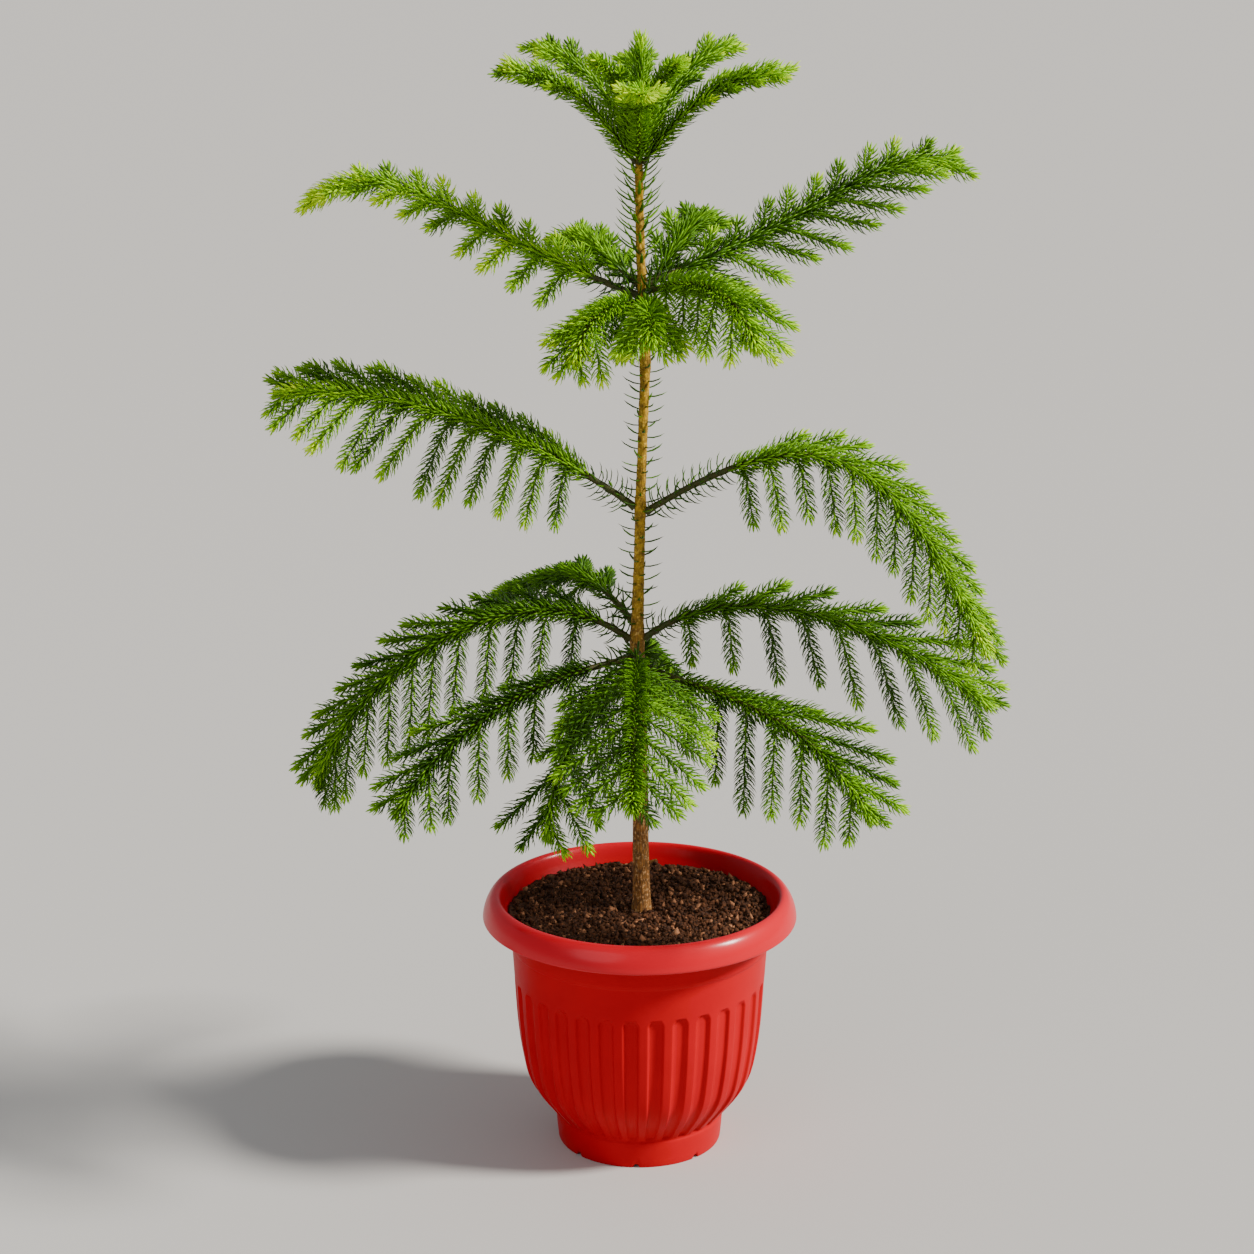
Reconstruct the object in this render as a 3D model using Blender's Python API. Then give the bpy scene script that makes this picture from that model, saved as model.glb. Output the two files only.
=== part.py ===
"""A young Norfolk Island pine in a fluted plastic pot of soil.

Metres, +Z up. The origin is the middle of the pot's flat underside, and -Y is the plant's front.
The trunk stands on the soil and carries whorls of boughs. Each bough is bare near the trunk and
then runs on as the stem of its masses of foliage, with needle-covered twigs in two rows.
"""

import math
import random
from collections import namedtuple
from itertools import pairwise, takewhile

import bmesh
import bpy
import numpy as np

# Neighbouring pieces keep this gap. A limb's hollowed end stands a little further off the trunk.
GAP = 0.0003
SEAT_GAP = 0.0005

# Pot: its foot, body and rolled rim, as (radius, height) from the underside up to the crest.
POT_FOOT_HEIGHT = 0.0210
POT_OUTSIDE = (
    (0.0680, 0.0000),
    (0.0692, POT_FOOT_HEIGHT),
    (0.0780, 0.0340),
    (0.0880, 0.0480),
    (0.0946, 0.0620),
    (0.1018, 0.1040),
    (0.1045, 0.1455),
    (0.1051, 0.1485),
    (0.1064, 0.1735),
    (0.1074, 0.1745),
    (0.1082, 0.1970),
)
POT_RIM = (
    (0.1288, 0.1970),
    (0.1302, 0.1985),
    (0.1286, 0.2050),
    (0.1245, 0.2140),
    (0.1195, 0.2175),
    (0.1162, 0.2160),
)
POT_MOUTH = ((0.1138, 0.2110), (0.1115, 0.2055), (0.1035, 0.1950))
POT_INSIDE_HEIGHTS = (0.0480, 0.1040)
POT_FLOOR = 0.0050
POT_WALL = 0.0024
FLUTES = 32
FLUTE_DEPTH = 0.0016
FLUTE_FOOT, FLUTE_TOP = 0.0240, 0.1470
SOIL_TOP = 0.2035
SOIL_COLUMNS = 32

# Trunk stations: height, radius and how far the centre line sways to the right.
TRUNK_FOOT = SOIL_TOP + GAP
TRUNK_TOP = 0.8460
TRUNK_SIDES = 10
TRUNK = (
    (TRUNK_FOOT, 0.0086, 0.0016),
    (0.2120, 0.0074, 0.0016),
    (0.2627, 0.0066, 0.0008),
    (0.3835, 0.0058, 0.0000),
    (0.4220, 0.0056, -0.0020),
    (0.4360, 0.0062, -0.0024),
    (0.4520, 0.0049, -0.0020),
    (0.4977, 0.0045, -0.0008),
    (0.5330, 0.0043, 0.0000),
    (0.5430, 0.0050, 0.0002),
    (0.5560, 0.0040, 0.0004),
    (0.6442, 0.0038, 0.0033),
    (0.6617, 0.0047, 0.0039),
    (0.6780, 0.0038, 0.0034),
    (0.7483, 0.0037, 0.0000),
    (0.7801, 0.0034, -0.0008),
    (0.8071, 0.0031, -0.0013),
    (TRUNK_TOP, 0.0024, -0.0008),
)

# Boughs and stems taper along the whole limb.
PATH_POINTS = 81
PATH_STEP = 0.0001
BOUGH_SIDES = 6
BOUGH_RINGS = 4
BOUGH_CORE = 0.0029
PLUME_CORE = 0.0019
STEM_TIP_CORE = 0.0016

# Foliage: a twig is a slim core with needles standing out of it as rings of teeth. A tooth rises
# to its crest over most of its length. Near the trunk the needles reach less.
NEEDLE_REACH = 0.0068
YOUNG_NEEDLE_REACH = 0.0095
LEADER_NEEDLE_REACH = 0.0105
NEEDLES_NEAR_TRUNK = 0.34
STEM_TOOTH = 0.0340
TWIG_TOOTH = 0.0280
TOOTH_CREST = 0.80
LAST_TOOTH_CREST = 0.60
TOOTH_LEAST = 1.15
SPRAY_SIDES = 3
SPRAY_TURN = math.radians(30)
TWIG_CORE = 0.0013
TWIG_TIP_CORE = 0.0032

# Growth: the rule that sets out the twigs. Scatter is the range of a random factor or offset. A
# limb's far row hangs less than its near row, more so towards the front, and is shorter if it lifts.
TWIG_SHORTEST = 0.0150
TWIG_STEP = 0.0040
TWIG_TRIES = (1.0, 0.8, 0.62, 0.45)
TWIG_CROWDING = 0.65
PLUME_BARE = 0.42
LAST_TWIG = 0.96
PLACE_SCATTER = 0.15
LEAN_SCATTER = 6
HANG_SCATTER = (0.88, 1.12)
LENGTH_SCATTER = (0.88, 1.06)
TWIG_TURN = 0.20
FAR_HANG = 0.18
FRONT_DROOP = 0.6
FAR_SHORT = 1.24
TWIG_BEND = 3.0
TWIG_EASE = 0.70
ROLL_EASE = 0.70
TWIG_NARROW = 0.35
TWIG_AT_TIP = 0.52
TWIG_PAST_TIP = 0.014
ROOT_FREE = 0.0160

# Limbs leave the trunk at a height and an azimuth, counted from the right towards the back. Each
# is a curve in an upright plane: it rises at one angle, holds that for a share of its span, and
# comes in to its tip at the fall angle over the drop share. It is bare up to a distance from the
# trunk's middle. Its foliage is some masses of twigs in pairs, longest at the peak, a share of the
# way out and at the foot a share of that, which lean out from the stem and hang. The near row rolls
# down off the stem's sides, and the far row lifts.
Limb = namedtuple(
    "Limb",
    "name azimuth height rise hold fall drop reach tip bare masses pairs twig foot peak lean hang roll lift",
    defaults=(0.45, 0.24),
)
LIMBS = (
    Limb("low_right", 2, 0.431, 42, 0.3, 40, 0.45, 0.288, 0.374, 0.036, 2, 9, 0.094, 0.44, 0.62, 48, 0.9),
    Limb("low_left", 183, 0.43, 42, 0.45, 80, 0.3, 0.262, 0.314, 0.036, 2, 12, 0.08, 0.55, 0.45, 48, 0.9, 1.0),
    Limb("low_back_left", 128, 0.445, 30, 0.45, 24, 0.6, 0.202, 0.427, 0.044, 2, 6, 0.056, 0.66, 0.4, 48, 0.7, 0.6),
    Limb("low_back", 84, 0.418, 0, 0.35, 52, 0.45, 0.18, 0.318, 0.04, 1, 5, 0.05, 0.66, 0.4, 48, 0.9),
    Limb("low_front_left", 208, 0.42, -2, 0.45, 56, 0.3, 0.218, 0.32, 0.042, 2, 7, 0.066, 0.66, 0.45, 48, 0.8, 0.8),
    Limb("low_front_side", 236, 0.412, -10, 0.6, 84, 0.3, 0.13, 0.302, 0.036, 1, 5, 0.075, 0.7, 0.35, 50, 0.5, 0.6),
    Limb("low_front", 268, 0.424, 0, 0.3, 36, 0.4, 0.2, 0.358, 0.028, 2, 8, 0.08, 1.0, 0.2, 64, 0.45),
    Limb("low_front_right", 325, 0.415, -14, 0.3, 54, 0.45, 0.22, 0.324, 0.044, 2, 7, 0.086, 0.7, 0.3, 48, 0.8, 0.6),
    Limb("mid_left", 175, 0.541, 38, 0.3, 8, 0.3, 0.292, 0.631, 0.05, 2, 13, 0.078, 0.7, 0.45, 48, 0.9),
    Limb("mid_right", 350, 0.538, 34, 0.6, 64, 0.6, 0.28, 0.436, 0.084, 3, 12, 0.06, 0.9, 0.5, 48, 0.85, 1.0),
    Limb("high_left", 165, 0.713, 18, 0.6, 36, 0.3, 0.274, 0.778, 0.04, 2, 10, 0.046, 1.0, 0.1, 58, 0.5, 0.15, 0.65),
    Limb("high_back_left", 118, 0.72, 14, 0.4, 0, 0.4, 0.118, 0.748, 0.034, 1, 4, 0.04, 0.7, 0.4, 44, 0.3, 0.45, 0.5),
    Limb("high_right", 18, 0.722, 18, 0.75, 12, 0.3, 0.268, 0.807, 0.036, 2, 10, 0.068, 0.8, 0.3, 38, 0.3, 0.4, 0.8),
    Limb("high_front_right", 310, 0.716, 20, 0.5, 62, 0.4, 0.135, 0.69, 0.026, 1, 6, 0.058, 0.8, 0.5, 46, 0.8, 0.6),
    Limb("high_front", 276, 0.699, 20, 0.4, 60, 0.4, 0.085, 0.69, 0.022, 1, 4, 0.05, 1.0, 0.4, 52, 0.9),
    Limb("high_front_left", 236, 0.706, 20, 0.35, 74, 0.42, 0.09, 0.674, 0.022, 1, 6, 0.052, 0.9, 0.3, 44, 0.9, 0.7),
    Limb("high_back", 62, 0.713, 26, 0.4, 10, 0.4, 0.125, 0.76, 0.03, 1, 4, 0.04, 0.7, 0.4, 44, 0.3),
)
PLUMES = (
    Limb("crown_left", 186, 0.813, 56, 0.45, -4, 0.4, 0.106, 0.888, 0, 1, 3, 0.026, 0.8, 0.4, 42, 0),
    Limb("crown_back_left", 140, 0.819, 60, 0.45, -6, 0.4, 0.108, 0.9, 0, 1, 3, 0.026, 0.8, 0.4, 42, 0),
    Limb("crown_back", 92, 0.813, 62, 0.45, 0, 0.4, 0.088, 0.89, 0, 1, 3, 0.026, 0.8, 0.4, 42, 0),
    Limb("crown_back_right", 40, 0.819, 60, 0.45, -6, 0.4, 0.096, 0.902, 0, 1, 3, 0.026, 0.8, 0.4, 42, 0),
    Limb("crown_right", 352, 0.813, 54, 0.45, 0, 0.4, 0.111, 0.886, 0, 1, 4, 0.026, 0.8, 0.4, 42, 0),
    Limb("crown_front_right", 308, 0.819, 66, 0.5, -20, 0.4, 0.05, 0.897, 0, 1, 2, 0.022, 0.8, 0.4, 42, 0),
    Limb("crown_front", 269, 0.813, 56, 0.45, 4, 0.4, 0.086, 0.876, 0, 1, 3, 0.026, 0.8, 0.4, 42, 0),
    Limb("crown_front_left", 226, 0.819, 66, 0.5, -20, 0.4, 0.052, 0.898, 0, 1, 2, 0.022, 0.8, 0.4, 42, 0),
)
LEADER = Limb("leader", 0, TRUNK_TOP + GAP, 90, 0.3, -90, 0.3, 0, 0.9125, 0, 1, 0, 0, 1, 0.4, 0, 0)

RED_PLASTIC = ((0.660, 0.006, 0.008, 1.0), 0.35)
SOIL = ((0.018, 0.008, 0.005, 1.0), 0.95)
BARK = ((0.150, 0.085, 0.035, 1.0), 0.80)
YOUNG_BARK = ((0.090, 0.085, 0.025, 1.0), 0.70)
NEEDLES = ((0.045, 0.130, 0.020, 1.0), 0.50)
YOUNG_NEEDLES = ((0.130, 0.300, 0.025, 1.0), 0.50)


class Path:
    """A smooth line through close points, read by the distance along it."""

    def __init__(self, points):
        self.points = np.array(points)
        steps = np.linalg.norm(np.diff(self.points, axis=0), axis=1)
        self.marks = np.concatenate([[0.0], np.cumsum(steps)])
        self.length = self.marks[-1]

    def point(self, distance):
        return np.array([np.interp(distance, self.marks, axis) for axis in self.points.T])

    def heading(self, distance):
        reach = 0.002
        start = min(max(distance - reach, 0.0), self.length - reach)
        step = self.point(start + 2 * reach) - self.point(start)
        return step / np.linalg.norm(step)


class Space:
    """Where each node's limbs and twigs lie, so that the twigs of another node keep clear."""

    def __init__(self):
        self.points = np.empty((0, 3))
        self.radii = np.empty(0)
        self.owners = np.empty(0, dtype=int)
        self.names = {}

    def take(self, owner, points, radii):
        number = self.names.setdefault(owner, len(self.names))
        self.points = np.concatenate([self.points, points])
        self.radii = np.concatenate([self.radii, np.broadcast_to(radii, len(points))])
        self.owners = np.concatenate([self.owners, np.full(len(points), number)])

    def is_clear(self, owner, points, radius, near_root):
        """Twigs of one mass may lie closer, and they meet near the root."""
        others = self.owners != self.names[owner]
        apart = np.linalg.norm(points[:, None] - self.points[None], axis=2)
        room = apart - self.radii - radius - GAP
        if room[:, others].min(initial=1.0) < 0:
            return False
        own = apart[~near_root][:, ~others] - TWIG_CROWDING * (self.radii[~others] + radius)
        return own.min(initial=1.0) >= 0


def material(name, finish):
    made = bpy.data.materials.new(name)
    made.use_nodes = True
    colour, roughness = finish
    shader = made.node_tree.nodes["Principled BSDF"]
    shader.inputs["Base Color"].default_value = colour
    shader.inputs["Roughness"].default_value = roughness
    shader.inputs["Metallic"].default_value = 0.0
    made.diffuse_color = colour
    return made


def close_end(form, loop, middle):
    """A flat end face, or a fan of faces to a middle point."""
    if middle is None:
        form.faces.new(loop)
        return
    point = form.verts.new(middle)
    for here in range(len(loop)):
        form.faces.new((loop[here - 1], loop[here], point))


def solid_from_rings(name, rings, finish, base=None, apex=None):
    """One closed body through rings of points. Its near end may fit a base, its far end a point."""
    form = bmesh.new()
    loops = [[form.verts.new(point) for point in ring] for ring in rings]
    for lower, upper in pairwise(loops):
        count = len(lower)
        for here in range(count):
            after = (here + 1) % count
            form.faces.new((lower[here], lower[after], upper[after], upper[here]))
    close_end(form, loops[0], base)
    close_end(form, loops[-1], apex)
    bmesh.ops.triangulate(form, faces=[face for face in form.faces if len(face.verts) == 4])
    bmesh.ops.recalc_face_normals(form, faces=form.faces)
    mesh = bpy.data.meshes.new(name)
    form.to_mesh(mesh)
    form.free()
    mesh.materials.append(finish)
    made = bpy.data.objects.new(name, mesh)
    bpy.context.scene.collection.objects.link(made)
    return made


def shade_round(made, sharp_degrees):
    made.data.shade_smooth()
    made.data.set_sharp_from_angle(angle=math.radians(sharp_degrees))


def fuse(made, operands):
    """One union with a collection of objects, which are then removed."""
    name = "fused"
    group = bpy.data.collections.new(name)
    bpy.context.scene.collection.children.link(group)
    for operand in operands:
        bpy.context.scene.collection.objects.unlink(operand)
        group.objects.link(operand)
    boolean = made.modifiers.new(name, "BOOLEAN")
    boolean.operation = "UNION"
    boolean.operand_type = "COLLECTION"
    boolean.collection = group
    boolean.solver = "EXACT"
    bpy.context.view_layer.objects.active = made
    bpy.ops.object.modifier_apply(modifier=name)
    for operand in operands:
        bpy.data.objects.remove(operand)
    bpy.data.collections.remove(group)


def circle(radius, height, columns, depth=0.0):
    """A level ring of points, with every second one set in by the flute's depth."""
    points = []
    for column in range(columns):
        angle = 2 * math.pi * column / columns
        here = radius - depth * (column % 2)
        points.append((here * math.cos(angle), here * math.sin(angle), height))
    return points


def flute_depth(height):
    return FLUTE_DEPTH if FLUTE_FOOT < height < FLUTE_TOP else 0.0


def pot_inside():
    """The inner wall's outline, from the mouth down to the floor."""
    wall = [
        (radius - FLUTE_DEPTH - POT_WALL, height)
        for radius, height in reversed(POT_OUTSIDE)
        if height in POT_INSIDE_HEIGHTS
    ]
    foot_radius = POT_OUTSIDE[1][0] - POT_WALL
    return [*POT_MOUTH, *wall, (foot_radius, POT_FOOT_HEIGHT), (foot_radius, POT_FLOOR)]


def build_pot(finish):
    columns = 2 * FLUTES
    rings = [circle(radius, height, columns, flute_depth(height)) for radius, height in POT_OUTSIDE]
    rings += [circle(radius, height, columns) for radius, height in (*POT_RIM, *pot_inside())]
    pot = solid_from_rings("pot", rings, finish)
    shade_round(pot, sharp_degrees=40)


def build_soil(finish):
    """The filling keeps the gap to the pot's inner wall and floor."""
    facet = math.cos(math.pi / (2 * FLUTES))
    inside = [(radius * facet - GAP, height) for radius, height in pot_inside() if height < SOIL_TOP]
    inside[-1] = (inside[-1][0], POT_FLOOR + GAP)
    heights = [height for _, height in POT_MOUTH]
    radii = [radius for radius, _ in POT_MOUTH]
    top_radius = float(np.interp(SOIL_TOP, heights[::-1], radii[::-1])) * facet - GAP
    outline = [(top_radius, SOIL_TOP), *inside]
    rings = [circle(radius, height, SOIL_COLUMNS) for radius, height in outline]
    soil = solid_from_rings("soil", rings, finish)
    shade_round(soil, sharp_degrees=40)


def trunk_radius(height):
    heights, radii, _ = zip(*TRUNK)
    return float(np.interp(height, heights, radii))


def trunk_middle(height):
    heights, _, sways = zip(*TRUNK)
    return np.array((np.interp(height, heights, sways), 0.0, height))


def build_trunk(finish):
    rings = []
    for height, radius, _ in TRUNK:
        angles = 2 * math.pi * np.arange(TRUNK_SIDES) / TRUNK_SIDES
        around = np.column_stack([np.cos(angles), np.sin(angles), np.zeros(TRUNK_SIDES)])
        rings.append(trunk_middle(height) + radius * around)
    trunk = solid_from_rings("trunk", rings, finish)
    shade_round(trunk, sharp_degrees=50)


def limb_path(limb):
    """A cubic curve in the limb's upright plane, from the trunk's middle to the needle tips."""
    angle = math.radians(limb.azimuth)
    outward = np.array((math.cos(angle), math.sin(angle), 0.0))
    upward = np.array((0.0, 0.0, 1.0))
    start = trunk_middle(limb.height)
    end = limb.reach * outward + limb.tip * upward
    span = np.linalg.norm(end - start)
    rise, fall = math.radians(limb.rise), math.radians(limb.fall)
    leave = start + limb.hold * span * (math.cos(rise) * outward + math.sin(rise) * upward)
    arrive = end - limb.drop * span * (math.cos(fall) * outward - math.sin(fall) * upward)
    share = np.linspace(0, 1, PATH_POINTS)[:, None]
    rest = 1 - share
    return Path(
        rest**3 * start + 3 * share * rest**2 * leave + 3 * share**2 * rest * arrive + share**3 * end
    )


def side_of(limb):
    """The level direction across the limb, to its left seen from the trunk."""
    angle = math.radians(limb.azimuth)
    return np.array((-math.sin(angle), math.cos(angle), 0.0))


def ring_at(path, distance, side, radius, sides, turn=0.0):
    other = np.cross(path.heading(distance), side)
    angles = turn + 2 * math.pi * np.arange(sides)[:, None] / sides
    return path.point(distance) + radius * (np.cos(angles) * side + np.sin(angles) * other)


def spray(name, path, side, start, end, cores, reach_at, tooth, finish, pointed, seated=False):
    """A core with rings of teeth, which stand out and forward as the needles do."""
    teeth = max(2, round((end - start) / tooth))
    pitch = (end - start) / teeth
    rings = []
    for number in range(teeth):
        foot = start + number * pitch
        last = pointed and number == teeth - 1
        crest = foot + (LAST_TOOTH_CREST if last else TOOTH_CREST) * pitch
        core = np.interp(foot, (start, end), cores)
        rings.append(ring_at(path, foot, side, core, SPRAY_SIDES, 2 * number * SPRAY_TURN))
        reach = max(reach_at(crest), TOOTH_LEAST * core)
        rings.append(ring_at(path, crest, side, reach, SPRAY_SIDES, (2 * number + 1) * SPRAY_TURN))
    base, apex = None, path.point(end)
    if seated:
        rings[0] = seat_on_trunk(rings[0], path.heading(start))
        base = path.point(start)
    if not pointed:
        rings.append(ring_at(path, end, side, cores[1], SPRAY_SIDES, 2 * teeth * SPRAY_TURN))
        apex = None
    return solid_from_rings(name, rings, finish, base, apex)


def stem_reach(limb, path):
    """Near the trunk the needles are held in, so that neighbouring limbs have room."""
    if limb is LEADER:
        return lambda distance: LEADER_NEEDLE_REACH
    longest = YOUNG_NEEDLE_REACH if limb in PLUMES else NEEDLE_REACH

    def reach(distance):
        point = path.point(distance)
        return min(longest, NEEDLES_NEAR_TRUNK * math.hypot(point[0], point[1]))

    return reach


def limb_core(limb, path, distance):
    thickest = BOUGH_CORE if limb.bare else PLUME_CORE
    return float(np.interp(distance, (0.0, path.length), (thickest, STEM_TIP_CORE)))


def off_trunk(point):
    """How far a point stands off the trunk's surface."""
    return math.hypot(*(point - trunk_middle(point[2]))[:2]) - trunk_radius(point[2])


def trunk_clearance(path):
    """The distance along a limb at which it comes clear of the trunk."""
    marks = np.arange(0.0, path.length, PATH_STEP)
    return next(mark for mark in marks if off_trunk(path.point(mark)) > SEAT_GAP)


def seat_on_trunk(ring, heading):
    """Slides each point of a limb's first ring inwards until it stands off the trunk by the gap."""
    slides = np.arange(4 * BOUGH_CORE, -3 * BOUGH_CORE, -PATH_STEP / 2)
    seated = []
    for point in ring:
        places = (point + slide * heading for slide in slides)
        seated.append(list(takewhile(lambda place: off_trunk(place) > SEAT_GAP, places))[-1])
    return seated


def build_bough(limb, path, finish):
    side = side_of(limb)
    start = trunk_clearance(path)
    marks = np.linspace(start, limb.bare, BOUGH_RINGS)
    rings = [ring_at(path, mark, side, limb_core(limb, path, mark), BOUGH_SIDES) for mark in marks]
    rings[0] = seat_on_trunk(rings[0], path.heading(start))
    bough = solid_from_rings(f"bough_{limb.name}", rings, finish, base=path.point(start))
    shade_round(bough, sharp_degrees=60)


def mass_spans(limb, path):
    """Names and stretches of the limb's masses, each a gap apart from the last."""
    if limb.bare:
        start = limb.bare + GAP
    else:
        start = 0.0 if limb is LEADER else trunk_clearance(path)
    edges = np.linspace(start, path.length, limb.masses + 1)
    names = {1: ("",), 2: ("_inner", "_outer"), 3: ("_inner", "_middle", "_outer")}[limb.masses]
    return [
        (f"mass_{limb.name}{name}", low + (GAP if number else 0.0), high)
        for number, (name, low, high) in enumerate(zip(names, edges, edges[1:]))
    ]


def twig_path(limb, path, distance, hand, length, chance):
    """A twig leaves the stem forward and to one side and then droops, most so on the front side."""
    heading = path.heading(distance)
    sideways = hand * side_of(limb)
    front = -sideways[1]
    share = distance / path.length
    lean = limb.lean * (1 + TWIG_TURN * front) * (1 - TWIG_NARROW * share**2)
    lean += chance.uniform(-LEAN_SCATTER, LEAN_SCATTER)
    roll = front * (limb.roll * (1 - ROLL_EASE * share) if front > 0 else limb.lift)
    above = np.cross(heading, side_of(limb))
    outward = math.cos(math.radians(lean)) * heading + math.sin(math.radians(lean)) * sideways
    outward -= roll * above
    outward /= np.linalg.norm(outward)
    ease = 1 - TWIG_EASE * share
    facing = max(0.0, -math.sin(math.radians(limb.azimuth)))
    near = min(1.0, front + FRONT_DROOP * facing)
    droop = FAR_HANG + (1 - FAR_HANG) * (1 + near) / 2
    hang = limb.hang * ease * droop * chance.uniform(*HANG_SCATTER)
    steps = max(4, math.ceil(length / TWIG_STEP))
    points = [path.point(distance)]
    for step in range(steps):
        bend = hang * min(1.0, TWIG_BEND * (step + 0.5) / steps)
        direction = (1 - bend) * outward + bend * np.array((0.0, 0.0, -1.0))
        points.append(points[-1] + direction / np.linalg.norm(direction) * length / steps)
    across = np.cross(outward, (0.0, 0.0, -1.0))
    return Path(points), across / np.linalg.norm(across)


def twig_length(limb, share, hand, chance):
    """Twigs are longest at the limb's peak, and shorter in a far row that stands up."""
    if share < limb.peak:
        part = np.interp(share, (0.0, limb.peak), (limb.foot, 1.0))
    else:
        part = 1.0 - (1.0 - TWIG_AT_TIP) * ((share - limb.peak) / (1.0 - limb.peak)) ** 2
    front = -hand * side_of(limb)[1]
    if front < 0:
        part *= min(1.0, FAR_SHORT - limb.lift)
    return limb.twig * float(part) * chance.uniform(*LENGTH_SCATTER)


def grow_twigs(limb, path, spans, space):
    """The twigs of each mass, left and right by turns, shortened or skipped where space is taken."""
    chance = random.Random(limb.name)
    grown = {name: [] for name, _, _ in spans}
    first, last = spans[0][1], path.length
    if not limb.bare:
        first = first + PLUME_BARE * (last - first)
    for number in range(2 * limb.pairs):
        share = (number + 0.5 + chance.uniform(-PLACE_SCATTER, PLACE_SCATTER)) / (2 * limb.pairs)
        distance = first + share * (last - first) * LAST_TWIG
        hand = 1 if number % 2 else -1
        longest = path.length - distance + TWIG_PAST_TIP
        length = min(twig_length(limb, share, hand, chance), longest)
        name = next(name for name, low, high in spans if distance <= high)
        low, high = next((low, high) for span, low, high in spans if span == name)
        distance = min(max(distance, low + TWIG_CORE), high - TWIG_CORE)
        state = chance.getstate()
        for factor in TWIG_TRIES:
            chance.setstate(state)
            if length * factor < TWIG_SHORTEST:
                break
            twig, across = twig_path(limb, path, distance, hand, length * factor, chance)
            marks = np.append(twig.marks[1:], twig.length)
            points = np.array([twig.point(mark) for mark in marks])
            if space.is_clear(name, points, NEEDLE_REACH, marks < ROOT_FREE):
                space.take(name, points, NEEDLE_REACH)
                grown[name].append((twig, across))
                break
    return grown


def build_mass(limb, path, span, twigs, finish):
    """One closed body: a toothed stem with its twigs fused on."""
    name, start, end = span
    cores = (limb_core(limb, path, start), limb_core(limb, path, end))
    pointed = end == path.length
    reach, side = stem_reach(limb, path), side_of(limb)
    tooth = STEM_TOOTH if limb.bare else TWIG_TOOTH
    stem = spray(name, path, side, start, end, cores, reach, tooth, finish, pointed, limb in PLUMES)
    sprays = [
        spray(
            "twig",
            twig,
            across,
            0.0,
            twig.length,
            (TWIG_CORE, TWIG_TIP_CORE),
            lambda distance: NEEDLE_REACH,
            TWIG_TOOTH,
            finish,
            True,
        )
        for twig, across in twigs
    ]
    if sprays:
        fuse(stem, sprays)


def main():
    for old in list(bpy.data.objects):
        bpy.data.objects.remove(old)
    bark = material("bark", BARK)
    young_bark = material("young_bark", YOUNG_BARK)
    needles = material("needles", NEEDLES)
    young_needles = material("young_needles", YOUNG_NEEDLES)
    build_pot(material("red_plastic", RED_PLASTIC))
    build_soil(material("soil", SOIL))
    build_trunk(bark)

    space = Space()
    limbs = (*LIMBS, *PLUMES, LEADER)
    paths = {limb: limb_path(limb) for limb in limbs}
    spans = {limb: mass_spans(limb, paths[limb]) for limb in limbs}
    trunk_heights = np.arange(TRUNK_FOOT, TRUNK_TOP, TWIG_STEP)
    trunk_points = np.array([trunk_middle(height) for height in trunk_heights])
    space.take("trunk", trunk_points, np.array([trunk_radius(height) for height in trunk_heights]))
    for limb in limbs:
        path, reach = paths[limb], stem_reach(limb, paths[limb])
        for name, start, end in spans[limb]:
            marks = np.arange(start, end, TWIG_STEP)
            points = np.array([path.point(mark) for mark in marks])
            space.take(name, points, np.array([reach(mark) for mark in marks]))
    for limb in limbs:
        if limb.bare:
            build_bough(limb, paths[limb], young_bark)
        grown = grow_twigs(limb, paths[limb], spans[limb], space)
        young = not limb.name.startswith(("low", "mid"))
        for span in spans[limb]:
            build_mass(limb, paths[limb], span, grown[span[0]], young_needles if young else needles)


main()
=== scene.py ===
"""A young Norfolk Island pine in a fluted red pot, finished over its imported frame.

Metres, +Z up and -Y to the front, as in the frame. The limbs are set out by the same table and
growth rule as the solids, and carried on to stems, twigs and single needles. Every piece rides on
the frame's one body.
"""

import math
import random
from collections import namedtuple
from functools import cache

import bpy
import numpy as np
from bpy.props import FloatProperty, FloatVectorProperty, IntProperty, PointerProperty
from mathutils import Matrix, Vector, noise


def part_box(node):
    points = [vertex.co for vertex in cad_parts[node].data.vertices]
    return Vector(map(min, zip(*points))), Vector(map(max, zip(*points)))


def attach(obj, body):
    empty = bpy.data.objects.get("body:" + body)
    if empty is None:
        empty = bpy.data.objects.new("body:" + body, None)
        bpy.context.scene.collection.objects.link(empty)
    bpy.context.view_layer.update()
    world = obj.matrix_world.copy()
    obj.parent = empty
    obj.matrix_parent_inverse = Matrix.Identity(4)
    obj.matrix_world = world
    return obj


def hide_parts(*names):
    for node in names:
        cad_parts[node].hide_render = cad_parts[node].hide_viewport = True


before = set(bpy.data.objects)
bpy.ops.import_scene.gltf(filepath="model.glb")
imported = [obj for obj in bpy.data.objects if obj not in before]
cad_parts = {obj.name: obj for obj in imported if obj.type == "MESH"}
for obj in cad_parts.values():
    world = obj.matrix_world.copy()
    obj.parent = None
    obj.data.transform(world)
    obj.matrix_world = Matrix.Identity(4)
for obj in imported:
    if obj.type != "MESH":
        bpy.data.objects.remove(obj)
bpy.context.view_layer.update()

bl_info = {
    "name": "Potted Norfolk Island pine",
    "version": (1, 0, 0),
    "blender": (4, 5, 0),
    "location": "View3D > Sidebar > Pine",
    "description": "Builds the pot, soil, bark, twigs and needles of a young potted pine",
    "category": "Add Mesh",
}

BODY = "root"

# Heights and a radius that the frame gives.
SOIL_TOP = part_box("soil")[1].z
TRUNK_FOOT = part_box("trunk")[0].z
TRUNK_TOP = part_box("trunk")[1].z
POT_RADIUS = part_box("pot")[1].x

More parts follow.
